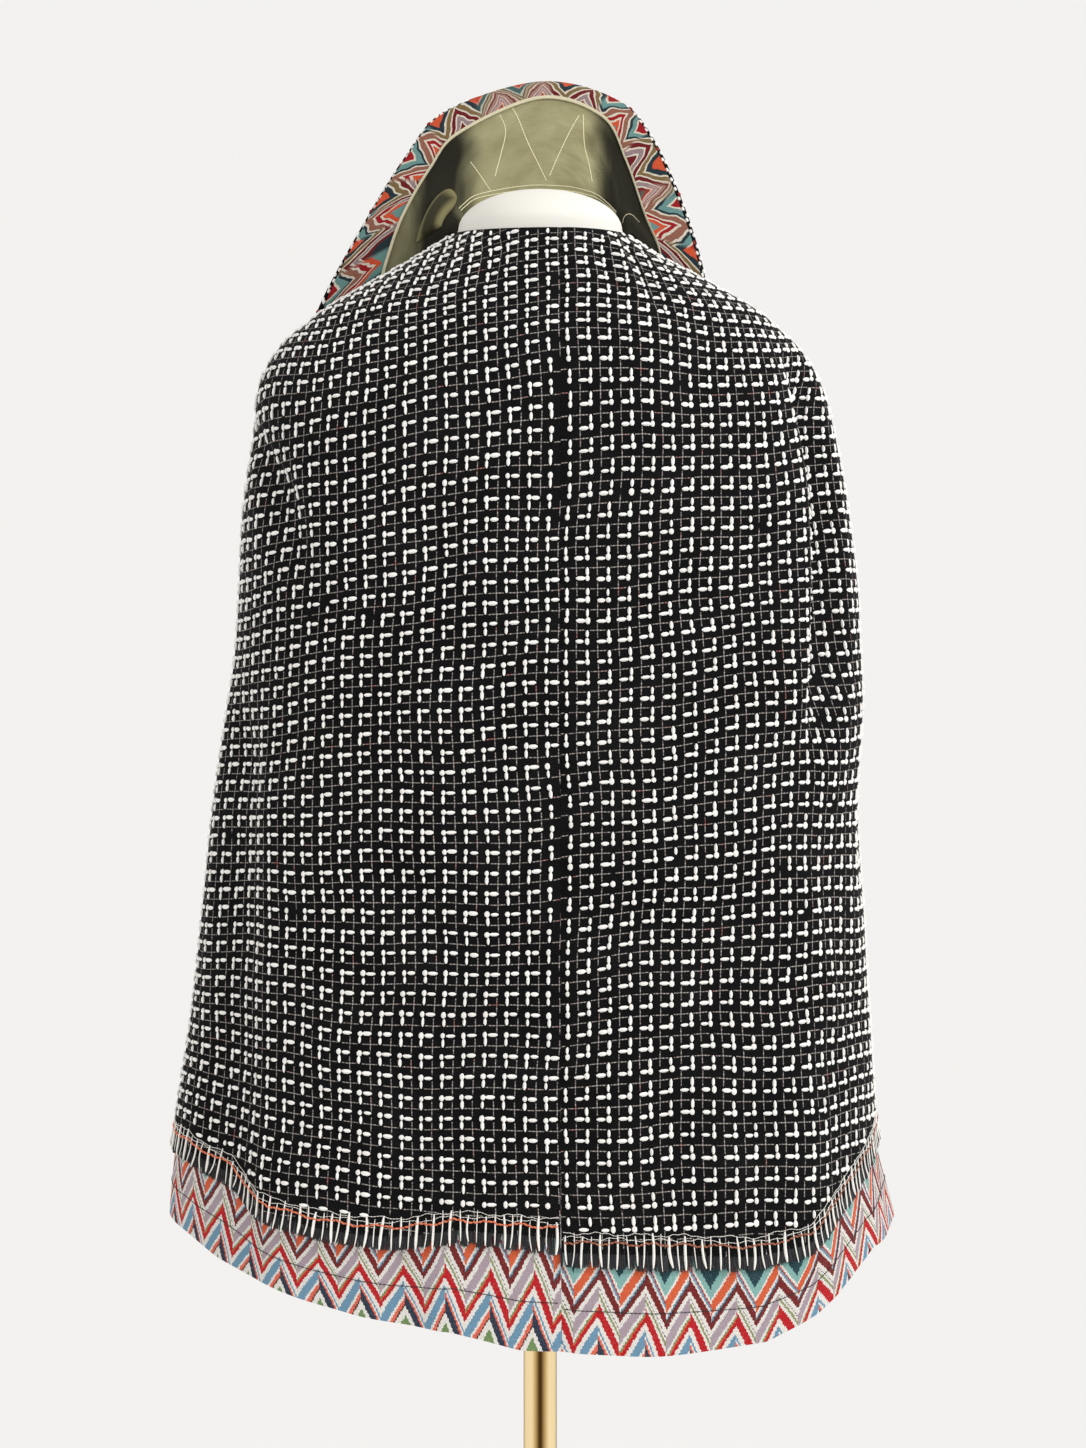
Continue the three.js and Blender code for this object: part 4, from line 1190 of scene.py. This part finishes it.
def hem_stitches(panel):
    a, _ = edge_steps(panel, FULL_LENGTH, 3.0)
    b = np.full_like(a, FULL_LENGTH - HEM_LINE_UP)
    name = f"{panel}_hem_stitches"
    return make_stitches(name, hem_surface, hem_normals, a, b, 0.36, 0.36, 0.0, HEM_OUTER + 0.1, DARK_THREAD)


hems = {name: make_hem(name) for name in PANELS}
hem_lines = {name: hem_stitches(name) for name in PANELS}

# %% [markdown]
# ## The collar's surface
#
# The collar is a funnel that opens like a shawl. It is a second surface of two numbers: a station from its
# left end round the front to its right end, and a place from the neck seam to the free rim. Four curves run
# along it, the seam, the top of the stand, the lining's edge and the rim, and a smooth curve joins them. Its
# two ends lie a few millimetres lower than the solids' ends, so that they rest on the shoulders.

# %% Collar
STATIONS = columns(
    "angle stand_x stand_y stand_z mid_x mid_y mid_z rim_x rim_y rim_z",
    (-97, -68.5, 13.5, 1424.5, -117, 30, 1388, -170, 38, 1352.5),
    (-104, -68, 16, 1434, -111, 31, 1409, -160, 34, 1381),
    (-116, -64, 26, 1443, -100, 40, 1442, -137, 45, 1427),
    (-132, -57, 42, 1451, -81, 60, 1481, -102, 68, 1490),
    (-150, -41, 58, 1459, -61, 78, 1510, -70, 90, 1531),
    (-180, 0, 70, 1466, 0, 93, 1539, 0, 110, 1555),
    (-211, 37, 60, 1461, 46, 85, 1524, 58, 99, 1540),
    (-228, 52, 45, 1454, 63, 66, 1488, 85, 77, 1506),
    (-244, 61, 29, 1446, 76, 42, 1443, 107, 49, 1450),
    (-256, 66, 15, 1436, 84, 27, 1420, 119, 31, 1405),
    (-263, 68.5, 13.5, 1424.5, 90, 27, 1403, 121, 34, 1386),
)
LAST_STATION = 10
LINING_EDGE, RIM = 2, 3
COLLAR_RISE = 2
PLACES = np.arange(4.0)
STATION_KEYS = np.arange(LAST_STATION + 1.0)


def collar_surface(station, place):
    """A point between the collar's tweed and its lining, smooth along the stations and across the places."""
    station, place = np.broadcast_arrays(np.asarray(station, float), np.asarray(place, float))
    at = {name: hermite(STATION_KEYS, column, station) for name, column in STATIONS.items()}
    seam = cape_surface(at["angle"], np.zeros_like(station), fine=False)
    inward = seam * np.array([1, 1, 0])
    seam = seam - inward / np.linalg.norm(inward, axis=-1, keepdims=True) * TWEED / 2
    seam[..., 2] += COLLAR_RISE
    curves = [seam] + [
        np.stack([at[f"{curve}_{axis}"] for axis in "xyz"], axis=-1) for curve in ("stand", "mid", "rim")
    ]
    knots = np.stack(curves)
    return np.stack([hermite(PLACES, knots[..., axis], place) for axis in range(3)], axis=-1)


collar_normals = normals_of(collar_surface, 0.04, 0.03)


def collar_chart(middle):
    """Millimetres along the collar, counted from its middle, and from the rim down across it."""
    along = run_along(middle)
    cross = run_along(middle, axis=1)
    return along - along[len(along) // 2], cross[:, -1:] - cross


# %% Collar layers
TWILL, LINING_OUTER, FACING_SET_BACK, SEAM_PLACE = 1.4, -0.6, 0.115, 0.012
END_INSET, COLLAR_COLUMNS = 0.02, 150


def collar_wall(name, places, inner, outer, finish, chart_of):
    a = np.linspace(END_INSET, LAST_STATION - END_INSET, COLLAR_COLUMNS)
    points, faces, grid = wall(collar_surface, collar_normals, a, np.linspace(*places), inner, outer)
    return make_piece(name, points, faces, finish, chart_of(grid[2])), grid


def plain_chart(middle):
    return np.stack(collar_chart(middle), axis=-1)


def shell_chart(middle):
    return plain_chart(middle) / REPEAT


def facing_chart(middle):
    """Along the band's middle line, so that the triangles don't fan out, and down across it."""
    along, down = collar_chart(middle)
    along = np.broadcast_to(along[:, along.shape[1] // 2, None], down.shape)
    return np.stack([along, down], axis=-1)


rim_line = collar_surface(np.linspace(0, LAST_STATION, 300), RIM)
print("collar rim, mm round:", round(float(run_along(rim_line)[-1])))

# %% [markdown]
# ## The facing's triangles
#
# The band inside the rim is cut from the same cloth, but across its stripes, so a zigzag shows only as nested
# triangles: some stand on the rim, and between them others stand on the inner edge. Their colours drift along
# the band. Two rows of stripes, mixed by a slow noise, give that drift.

# %% Facing finish
FACING_PERIOD, FACING_RISE, FACING_TOP, FACING_HEIGHT = 35.0, 24.0, -28.0, 60.0
FACING_YARNS = {
    "cream": srgb(222, 214, 196),
    "orange": srgb(214, 84, 48),
    "petrol": srgb(28, 48, 56),
    "bark": srgb(128, 104, 66),
    "clay": srgb(150, 98, 80),
    "wine": srgb(110, 12, 20),
    "red": srgb(160, 16, 24),
    "mauve": srgb(154, 132, 136),
    "lagoon": srgb(108, 150, 146),
}
WARM_STRIPES = [
    (-28, "orange"), (-15, "petrol"), (-9, "cream"), (-6.5, "bark"), (-1, "cream"), (1.5, "wine"),
    (7, "cream"), (9.5, "mauve"), (15, "cream"), (17, "wine"), (24, "petrol"),
]
COOL_STRIPES = [
    (-28, "red"), (-17, "cream"), (-14.5, "lagoon"), (-8, "petrol"), (-5, "cream"), (-2.5, "clay"),
    (4, "cream"), (6.5, "red"), (11, "cream"), (13.5, "orange"), (20, "lagoon"),
]


def facing_finish():
    finish = Finish("facing jacquard")
    along, down, _ = finish.split(finish.cloth_map())
    spot = finish.join(along, down)
    bend = finish.waver(spot, 0.07, 1.0, 9.0)
    ragged = finish.waver(spot, 0.5, 2.0, 1.2)
    phase = finish.math("FRACT", (along + bend) / FACING_PERIOD)
    height = abs(phase * 2 - 1)
    place = down + ragged + finish.waver(spot, 0.05, 1.0, 5.0) - (1 - height) * FACING_RISE
    share = (place - FACING_TOP) / FACING_HEIGHT
    rows = [
        finish.ramp(share, chart_stops(stripes, FACING_YARNS, FACING_TOP, FACING_HEIGHT), hard=True)
        for stripes in (WARM_STRIPES, COOL_STRIPES)
    ]
    drift = finish.step(finish.noise(finish.join(along, 0.0), 0.021, 0.0), 0.48, 0.53)
    dots, grain = woven(finish, spot, along, down)
    colour = finish.mix(drift, *rows)
    shade = finish.math("ADD", dots * 0.6, (grain - 0.40) * 1.6, clamp=True)
    colour = finish.mix(shade * 0.55, colour, srgb(92, 80, 84), "MULTIPLY")
    bumps = finish.bump(dots * 0.5 + grain, 0.0007, 0.8)
    return finish.done(Base_Color=colour, Roughness=0.85, Normal=bumps, Specular_IOR_Level=0.25)


FACING_FINISH = facing_finish()

# %% [markdown]
# ## Olive twill, cream piping
#
# The lining is a plain cotton twill, slightly creased, with painted shade where it is deep in the collar. The
# fine slant of the twill is drawn by the material. The piping is a narrow folded strip of cream satin.

# %% Twill and piping finishes
SHADE_LEFT, LESS_SHADE_LEFT, SHADE_RIGHT, SHADE_BELOW = (0.040, 0.064), (0.082, 0.100), (0.030, 0.052), (1.500, 1.570)


def twill_finish():
    """Olive twill, paler and darker in soft patches that follow the creases. At both sides of the neck the
    lining turns away from the light, so painted shade makes it darkest there."""
    finish = Finish("olive twill")
    across, down, _ = finish.split(finish.cloth_map())
    slant = finish.wave(across + down, 0.9)
    spot = finish.join(across, down)
    crease = finish.noise(finish.join(across * 0.6, down), 0.055, 2.0, 0.5)
    fine = finish.noise(spot, 0.9, 3.0, 0.6)
    colour = finish.ramp(crease * 0.7 + fine * 0.3, [
        (0.3, srgb(150, 145, 103)),
        (0.5, srgb(174, 169, 127)),
        (0.7, srgb(190, 186, 145)),
    ])
    colour = finish.mix(finish.step(slant, -0.2, 0.9) * 0.14, colour, srgb(196, 192, 154))
    # Painted shade: the colour goes towards near-black at both sides of the neck and more so low down; just
    # inside the piping at the left the painted shade is weaker.
    x, _, z = finish.split(finish.place())
    soft = finish.waver(spot, 0.03, 2.0, 0.024)
    left = finish.step(soft - x, *SHADE_LEFT)
    shade_eased_left = 1 - finish.step(soft - x, *LESS_SHADE_LEFT) * 0.55
    right = finish.step(x + soft, *SHADE_RIGHT)
    below = 1 - finish.step(z, *SHADE_BELOW)
    deep = finish.math("MAXIMUM", left * shade_eased_left, right) * (0.2 + below * 0.8)
    colour = finish.mix(deep * 0.97, colour, srgb(17, 15, 6))
    bumps = finish.bump(crease * 4 + slant * 0.12 + fine * 0.3, 0.0026, 0.8)
    return finish.done(Base_Color=colour, Roughness=0.8, Normal=bumps, Specular_IOR_Level=0.2)


def piping_finish():
    finish = Finish("cream piping")
    across, _, _ = finish.split(finish.cloth_map())
    thread = finish.wave(across, 0.8)
    fuzz = finish.noise(finish.cloth_map(), 1.2)
    colour = finish.mix(fuzz, srgb(208, 198, 160), srgb(238, 230, 200))
    return finish.done(Base_Color=colour, Roughness=0.6, Normal=finish.bump(thread, 0.0002))


TWILL_FINISH = twill_finish()
PIPING_FINISH = piping_finish()

# %% Make the collar
PIPING_HALF_WIDTH, PIPING_THICK, PIPING_GAP = 0.026, 1.2, 0.2
facing_back = LINING_OUTER - JACQUARD
piping_outer = facing_back - PIPING_GAP
piping_inner = piping_outer - PIPING_THICK
shell, shell_grid = collar_wall("collar_shell_cloth", (0, RIM, 56), 0, TWEED, TWEED_FINISH, shell_chart)
facing_places = (LINING_EDGE + SEAM_PLACE, RIM - FACING_SET_BACK, 20)
facing, _ = collar_wall(
    "collar_facing_cloth", facing_places, facing_back, LINING_OUTER, FACING_FINISH, facing_chart
)
lining_places = (0.03, LINING_EDGE - SEAM_PLACE, 50)
lining, _ = collar_wall(
    "collar_lining_cloth", lining_places, LINING_OUTER - TWILL, LINING_OUTER, TWILL_FINISH, plain_chart
)
piping_places = (LINING_EDGE - PIPING_HALF_WIDTH, LINING_EDGE + PIPING_HALF_WIDTH, 4)
piping, _ = collar_wall(
    "collar_piping_cloth", piping_places, piping_inner, piping_outer, PIPING_FINISH, plain_chart
)

# %% Floats on the collar's tweed
SHELL_FLOATS_FROM = 9


def collar_floats():
    station, place, middle = shell_grid
    along, down = collar_chart(middle)
    grids = [grid[:, SHELL_FLOATS_FROM:] for grid in (station, place, along, down)]
    return make_floats("collar_shell_floats", grids, collar_surface, collar_normals, TWEED, 1, 0.0)


shell_floats = collar_floats()

# %% Slubs along the rim
RIM_SLUB_PITCH, RIM_SLUB_HALF_LENGTH, RED_EVERY = 4.8, 1.5, 9
RED_YARN = yarn_finish("red rim yarn", srgb(96, 14, 18), srgb(170, 40, 36))


def rim_floats(name, finish, chosen):
    """Floats that wrap over the rim's edge in two staggered rows; chosen picks which of them are made."""
    fine = np.linspace(0.05, LAST_STATION - 0.05, 1200)
    run = run_along(collar_surface(fine, RIM))
    count = int(run[-1] / RIM_SLUB_PITCH)
    order = np.arange(count)
    order = order[chosen(order)]
    spots = (order + 0.5) * run[-1] / count + 0.9 * np.sin(order * 2.7)
    ends = spots[:, None] + RIM_SLUB_HALF_LENGTH * np.array([-1, 0, 1])
    station = np.interp(ends, run, fine)
    place = RIM - 0.015 - 0.045 * (order[:, None] % 2) + 0 * station
    ups = collar_normals(station, place)
    centres = collar_surface(station, place) - ups * 0.25
    shape = np.ones((len(order), 1)) * np.array([0.6, 1.0, 0.6])
    return make_yarns(name, centres, shape * 1.25, shape * 1.0, ups, 6, finish)


rim_slubs = rim_floats("collar_rim_floats", SLUB_FINISH, lambda order: order % RED_EVERY != 4)
red_slubs = rim_floats("collar_rim_red_floats", RED_YARN, lambda order: order % RED_EVERY == 4)

# %% [markdown]
# ## Topstitching
#
# Rows of small stitches hold the lining to the tweed: two that meet in a V at the back of the neck, three
# more beside them, a double row along the seam where the stand begins, and one across the lining at the
# right. Each row is drawn through a few stations and places of the collar, with stitches at even steps.

# %% Topstitches
TOPSTITCHES = [
    [(4.66, 1.97), (4.83, 1.51), (5.13, 1.13)],
    [(5.6, 1.84), (5.4, 1.49), (5.19, 1.18)],
    [(4.01, 1.53), (4.09, 1.32), (4.17, 1.1)],
    [(4.52, 1.95), (4.56, 1.7), (4.46, 1.47), (4.32, 1.26)],
    [(5.66, 1.87), (5.76, 1.56), (5.91, 1.38), (6.05, 1.2)],
    [(2.6, 1.0), (3.6, 1.08), (4.5, 1.09), (5.1, 1.08), (5.8, 1.08), (6.8, 1.0), (7.6, 0.84)],
    [(2.6, 0.94), (3.6, 1.03), (4.5, 1.04), (5.1, 1.03), (5.8, 1.03), (6.8, 0.95), (7.6, 0.79)],
    [(8.51, 0.57), (8.41, 1.56)],
]
TOPSTITCH_LENGTH = 2.4
TOPSTITCH_THREAD = yarn_finish("topstitch thread", srgb(222, 215, 172), srgb(246, 240, 204))


def make_topstitches(name, row):
    """Stitches of one length along the smooth line through a row of stations and places."""
    key = np.arange(float(len(row)))
    share = np.linspace(0, key[-1], 400)
    line = [hermite(key, column, share) for column in np.array(row, float).T]
    run = run_along(collar_surface(*line))
    even = np.linspace(0, run[-1], int(run[-1] / TOPSTITCH_LENGTH) + 2)
    a, b = [np.interp(even, run, values) for values in line]
    lift = LINING_OUTER - TWILL - 0.1
    return make_stitches(name, collar_surface, collar_normals, a, b, 0.34, 0.22, 0.0, lift, TOPSTITCH_THREAD)


topstitches = [make_topstitches(f"topstitch_{k + 1}", row) for k, row in enumerate(TOPSTITCHES)]

# %% [markdown]
# ## The small fold at the neck
#
# At the left, a rounded fold of the twill stands off the lining like a lapel that is turned in. It is a strip
# of the collar's surface that narrows to a round end, and its inner face swells, most along its middle.

# %% Tab
TAB_STATIONS, TAB_MIDDLE, TAB_HALF_WIDTH = (0.9, 2.95), 1.3, 0.22
TAB_ROUND_FROM, TAB_ROUND, TAB_EDGE, TAB_BULGE = 2.1, 0.85, 1.2, 5.0


def tab_finish():
    """The same twill, with a painted highlight on the two rolled edges and at the round end, and painted
    shade in the hollow between.
    """
    finish = Finish("folded twill")
    along, across, _ = finish.split(finish.cloth_map())
    fine = finish.noise(finish.place(), 900.0, 3.0, 0.6)
    # Painted highlight on the rolled edges and the round end, painted shade in the hollow between them.
    roll = finish.math("MAXIMUM", 1 - finish.step(across, 0.05, 0.34), finish.step(across, 0.66, 0.95))
    roll = finish.math("MAXIMUM", roll, finish.step(along, 0.72, 0.95))
    colour = finish.mix(roll, srgb(38, 36, 21), srgb(122, 116, 80))
    colour = finish.mix(fine * 0.3, colour, srgb(84, 79, 52))
    bumps = finish.bump(fine, 0.0003)
    return finish.done(Base_Color=colour, Roughness=0.8, Normal=bumps, Specular_IOR_Level=0.2)


def tab_surface(station, side):
    """The collar's surface from one edge of the fold, side -1, to the other, side 1. Its half width shrinks
    as the square root of one less a share of the way along the round end, squared."""
    share = np.maximum(0, (station - TAB_ROUND_FROM) / (TAB_STATIONS[1] - TAB_ROUND_FROM))
    half = TAB_HALF_WIDTH * np.sqrt(1 - TAB_ROUND * share**2)
    return collar_surface(station, TAB_MIDDLE + half * side)


tab_normals = normals_of(tab_surface, 0.04, 0.1)


def make_tab():
    station = TAB_STATIONS[0] + (TAB_STATIONS[1] - TAB_STATIONS[0]) * np.linspace(0, 1, 44) ** 0.8
    side = np.sin(np.linspace(-0.5 * np.pi, 0.5 * np.pi, 24))
    share = (station - station[0]) / (station[-1] - station[0])
    along = np.sin(np.pi * share).clip(0) ** 0.3
    across = np.cos(0.5 * np.pi * side).clip(0) ** 0.6
    back = np.full((len(station), len(side)), LINING_OUTER - TWILL - 0.3)
    front = back - TAB_EDGE - TAB_BULGE * np.outer(along, across)
    points, faces, _ = wall(tab_surface, tab_normals, station, side, front, back)
    chart = np.stack(np.meshgrid(share, 0.5 + 0.5 * side, indexing="ij"), axis=-1)
    return make_piece("collar_tab_cloth", points, faces, tab_finish(), chart)


tab = make_tab()

# %% [markdown]
# ## The form and its stand
#
# The form is covered smoothly in off-white cloth, so it only needs its sections in finer steps and a rounded
# top. The pole and base are turned brass, made by spinning a profile. The pole's flange keeps its solid and
# takes the same brass.

# %% Spun shapes
FORM_SIDES, BODY_LEVELS, DOME_LEVELS = 96, 110, 14


def spin_faces(levels, sides):
    """Quads between rings of points, one above the other, and a cap at each end."""
    at = np.arange(levels * sides).reshape(levels, sides)
    nxt = np.roll(at, -1, axis=1)
    quads = np.stack([at[:-1], nxt[:-1], nxt[1:], at[1:]], axis=-1).reshape(-1, 4)
    return quads.tolist() + [at[0, ::-1].tolist(), at[-1].tolist()]


def make_form():
    """Sections between the bottom and the neck, then a cap whose size shrinks as a quarter of a circle."""
    shoulder = NECK_TOP - NECK_DOME
    body = np.linspace(FORM_BOTTOM, shoulder, BODY_LEVELS)
    dome = shoulder + NECK_DOME * np.sin(np.linspace(0.06, 0.5 * np.pi - 0.05, DOME_LEVELS))
    z = np.concatenate([body, dome])[:, None]
    cap = np.sqrt(1 - (np.maximum(0, z - shoulder) / NECK_DOME) ** 2)
    level = np.minimum(z, shoulder)
    turn = np.linspace(0, 2 * np.pi, FORM_SIDES, endpoint=False)[None]
    sine, cosine = np.sin(turn), np.cos(turn)
    section = {name: hermite(FORM_SECTIONS["z"], FORM_SECTIONS[name], level) for name in FORM_SECTIONS}
    depth = np.where(cosine > 0, section["back"], section["front"])
    square = section["square"]
    unit = (abs(sine) / section["half_width"]) ** square + (abs(cosine) / depth) ** square
    radius = cap * unit ** (-1 / square)
    points = np.stack([radius * sine, -radius * cosine, z + 0 * radius], axis=-1).reshape(-1, 3)
    return make_piece("form_cover", points, spin_faces(len(z), FORM_SIDES), form_finish())


def form_finish():
    finish = Finish("form cover")
    knit = finish.noise(finish.place(), 700.0, 2.0)
    cloud = finish.noise(finish.place(), 6.0, 2.0)
    colour = finish.mix(cloud, srgb(219, 216, 208), srgb(227, 225, 218))
    return finish.done(
        Base_Color=colour, Roughness=0.75, Normal=finish.bump(knit, 0.0001, 0.4), Specular_IOR_Level=0.2
    )


form = make_form()

# %% Brass
POLE_RADIUS, BASE_RADIUS, BASE_HEIGHT = 12, 170, 14


def brass_finish(name):
    """Polished brass with painted reflections. A round bar mirrors the dark and the bright parts of a room as
    upright stripes, so its colour is painted bright where 2xy/r² is large, at the diagonals, and dark at its
    front, sides and back."""
    finish = Finish(name)
    x, y, z = finish.split(finish.place())
    brushed = finish.noise(finish.join(x * 60, y * 60, z * 2), 12.0, 3.0, 0.6)
    smudge = finish.noise(finish.place(), 9.0, 2.0)
    # Painted reflection: bright and dark upright stripes in the base colour, set by the angle round the bar.
    painted_reflection = abs(x * y) * 2 / finish.math("MAXIMUM", x * x + y * y, 1e-6)
    colour = finish.ramp(painted_reflection + (smudge - 0.5) * 0.06, [
        (0.04, srgb(64, 46, 20)),
        (0.22, srgb(112, 82, 40)),
        (0.62, srgb(206, 174, 118)),
        (0.9, srgb(250, 226, 176)),
    ])
    rough = 0.2 + smudge * 0.1 + brushed * 0.05
    return finish.done(Base_Color=colour, Metallic=1.0, Roughness=rough, Normal=finish.bump(brushed, 0.00004))


def spin(name, profile, sides, finish):
    """Spins (radius, height) pairs round the upright axis."""
    radius, z = np.array(profile, float).T
    turn = np.linspace(0, 2 * np.pi, sides, endpoint=False)
    ring_x = radius[:, None] * np.sin(turn)
    ring_y = -radius[:, None] * np.cos(turn)
    points = np.stack([ring_x, ring_y, z[:, None] + 0 * ring_x], axis=-1).reshape(-1, 3)
    return make_piece(name, points, spin_faces(len(profile), sides), finish)


BRASS = brass_finish("brass")
pole = spin("pole_tube", [(POLE_RADIUS, BASE_HEIGHT + 0.3), (POLE_RADIUS, FORM_BOTTOM - 0.3)], 64, BRASS)
edge_turn = np.linspace(0, np.pi / 2, 7)
base_profile = [(BASE_RADIUS - 3, 0), (BASE_RADIUS, 3)]
base_profile += [(BASE_RADIUS - 4 + 4 * np.cos(t), 8 + 3 * np.sin(t)) for t in edge_turn]
base_profile += [(30, BASE_HEIGHT), (2, BASE_HEIGHT)]
base = spin("base_plate", base_profile, 128, BRASS)

flange = bpy.data.objects["pole_flange"]
flange.data.materials.clear()
flange.data.materials.append(BRASS)

# %% [markdown]
# ## What stands for what
#
# Every new piece rides on the one body, and the solid it stands for is hidden. The sizes the cloth pieces
# were cut to are printed below.

# %% Ride and replace
def settle(piece, slot, *nodes):
    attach(piece, "root")
    if nodes:
        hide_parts(*nodes)


for name in PANELS:
    white, black, _ = fringes[name]
    settle(panels[name][0], "tweed", name)
    settle(floats[name], "tweed")
    settle(white, "tweed", f"fringe_{name}")
    settle(black, "tweed", f"fringe_{name}")
    for line in (edge_lines[name], *pushed_yarns[name]):
        settle(line, "tweed")
    settle(hems[name], "chevron_jacquard", f"hem_{name}")
    settle(hem_lines[name], "chevron_jacquard")

settle(shell, "tweed", "collar_shell")
settle(shell_floats, "tweed")
settle(rim_slubs, "tweed")
settle(red_slubs, "tweed")
for row in topstitches:
    settle(row, "olive_twill")
settle(facing, "chevron_jacquard", "collar_facing")
settle(lining, "olive_twill", "collar_lining")
settle(piping, "cream_piping", "collar_piping")
settle(tab, "olive_twill", "collar_tab")
settle(form, "form_white", "form_torso")
settle(pole, "brass", "pole")
settle(base, "brass", "base")

# %% [markdown]
# ## Sizes before sewing
#
# A sheet's cut is what it measures when it is flat. The width is the longest level line round the piece and
# the length runs down it; the area is what is left of that rectangle once the cut narrows to the neck.

# %% Flat sizes
def flat_area(piece):
    """Half the area of a thin closed wall, which is the area of its one middle sheet."""
    mesh = piece.data
    area = np.empty(len(mesh.polygons))
    mesh.polygons.foreach_get("area", area)
    return float(area.sum()) / 2


def declare(piece, width, length, held, rests_on, with_pieces=()):
    area = min(flat_area(piece), width * length)
    print(f"{piece.name}: {width:.3f} by {length:.3f} m, {area:.3f} m2")


HEM_EASE = 1.03
HEM_CUT = FULL_LENGTH - TWEED_LENGTH + UNDERLAP
for name in PANELS:
    white, black, edge_width = fringes[name]
    extras = [floats[name], white, black, edge_lines[name], *pushed_yarns[name]]
    declare(panels[name][0], edge_width * MM, TWEED_LENGTH * MM, "draped", ["form_torso"], extras)
    hem_width = edge_width * MM * HEM_EASE
    declare(hems[name], hem_width, HEM_CUT * MM, "hung", [name], [hem_lines[name]])


def collar_band(from_place, to_place):
    """Length of the longer edge of a band of the collar, and its greatest height across, in metres."""
    station = np.linspace(0, LAST_STATION, 300)
    length = max(run_along(collar_surface(station, place))[-1] for place in (from_place, to_place))
    cut = collar_surface(station[:, None], np.linspace(from_place, to_place, 40)[None])
    height = run_along(cut, axis=1)[:, -1].max()
    return float(length) * MM, float(height) * MM


declare(shell, *collar_band(0, RIM), "draped", ["back_left", "back_right", "front"],
        [shell_floats, rim_slubs, red_slubs])
declare(facing, *collar_band(LINING_EDGE, RIM), "draped", ["collar_shell"])
declare(lining, *collar_band(0, LINING_EDGE), "draped", ["collar_shell"], [*topstitches, piping, tab])
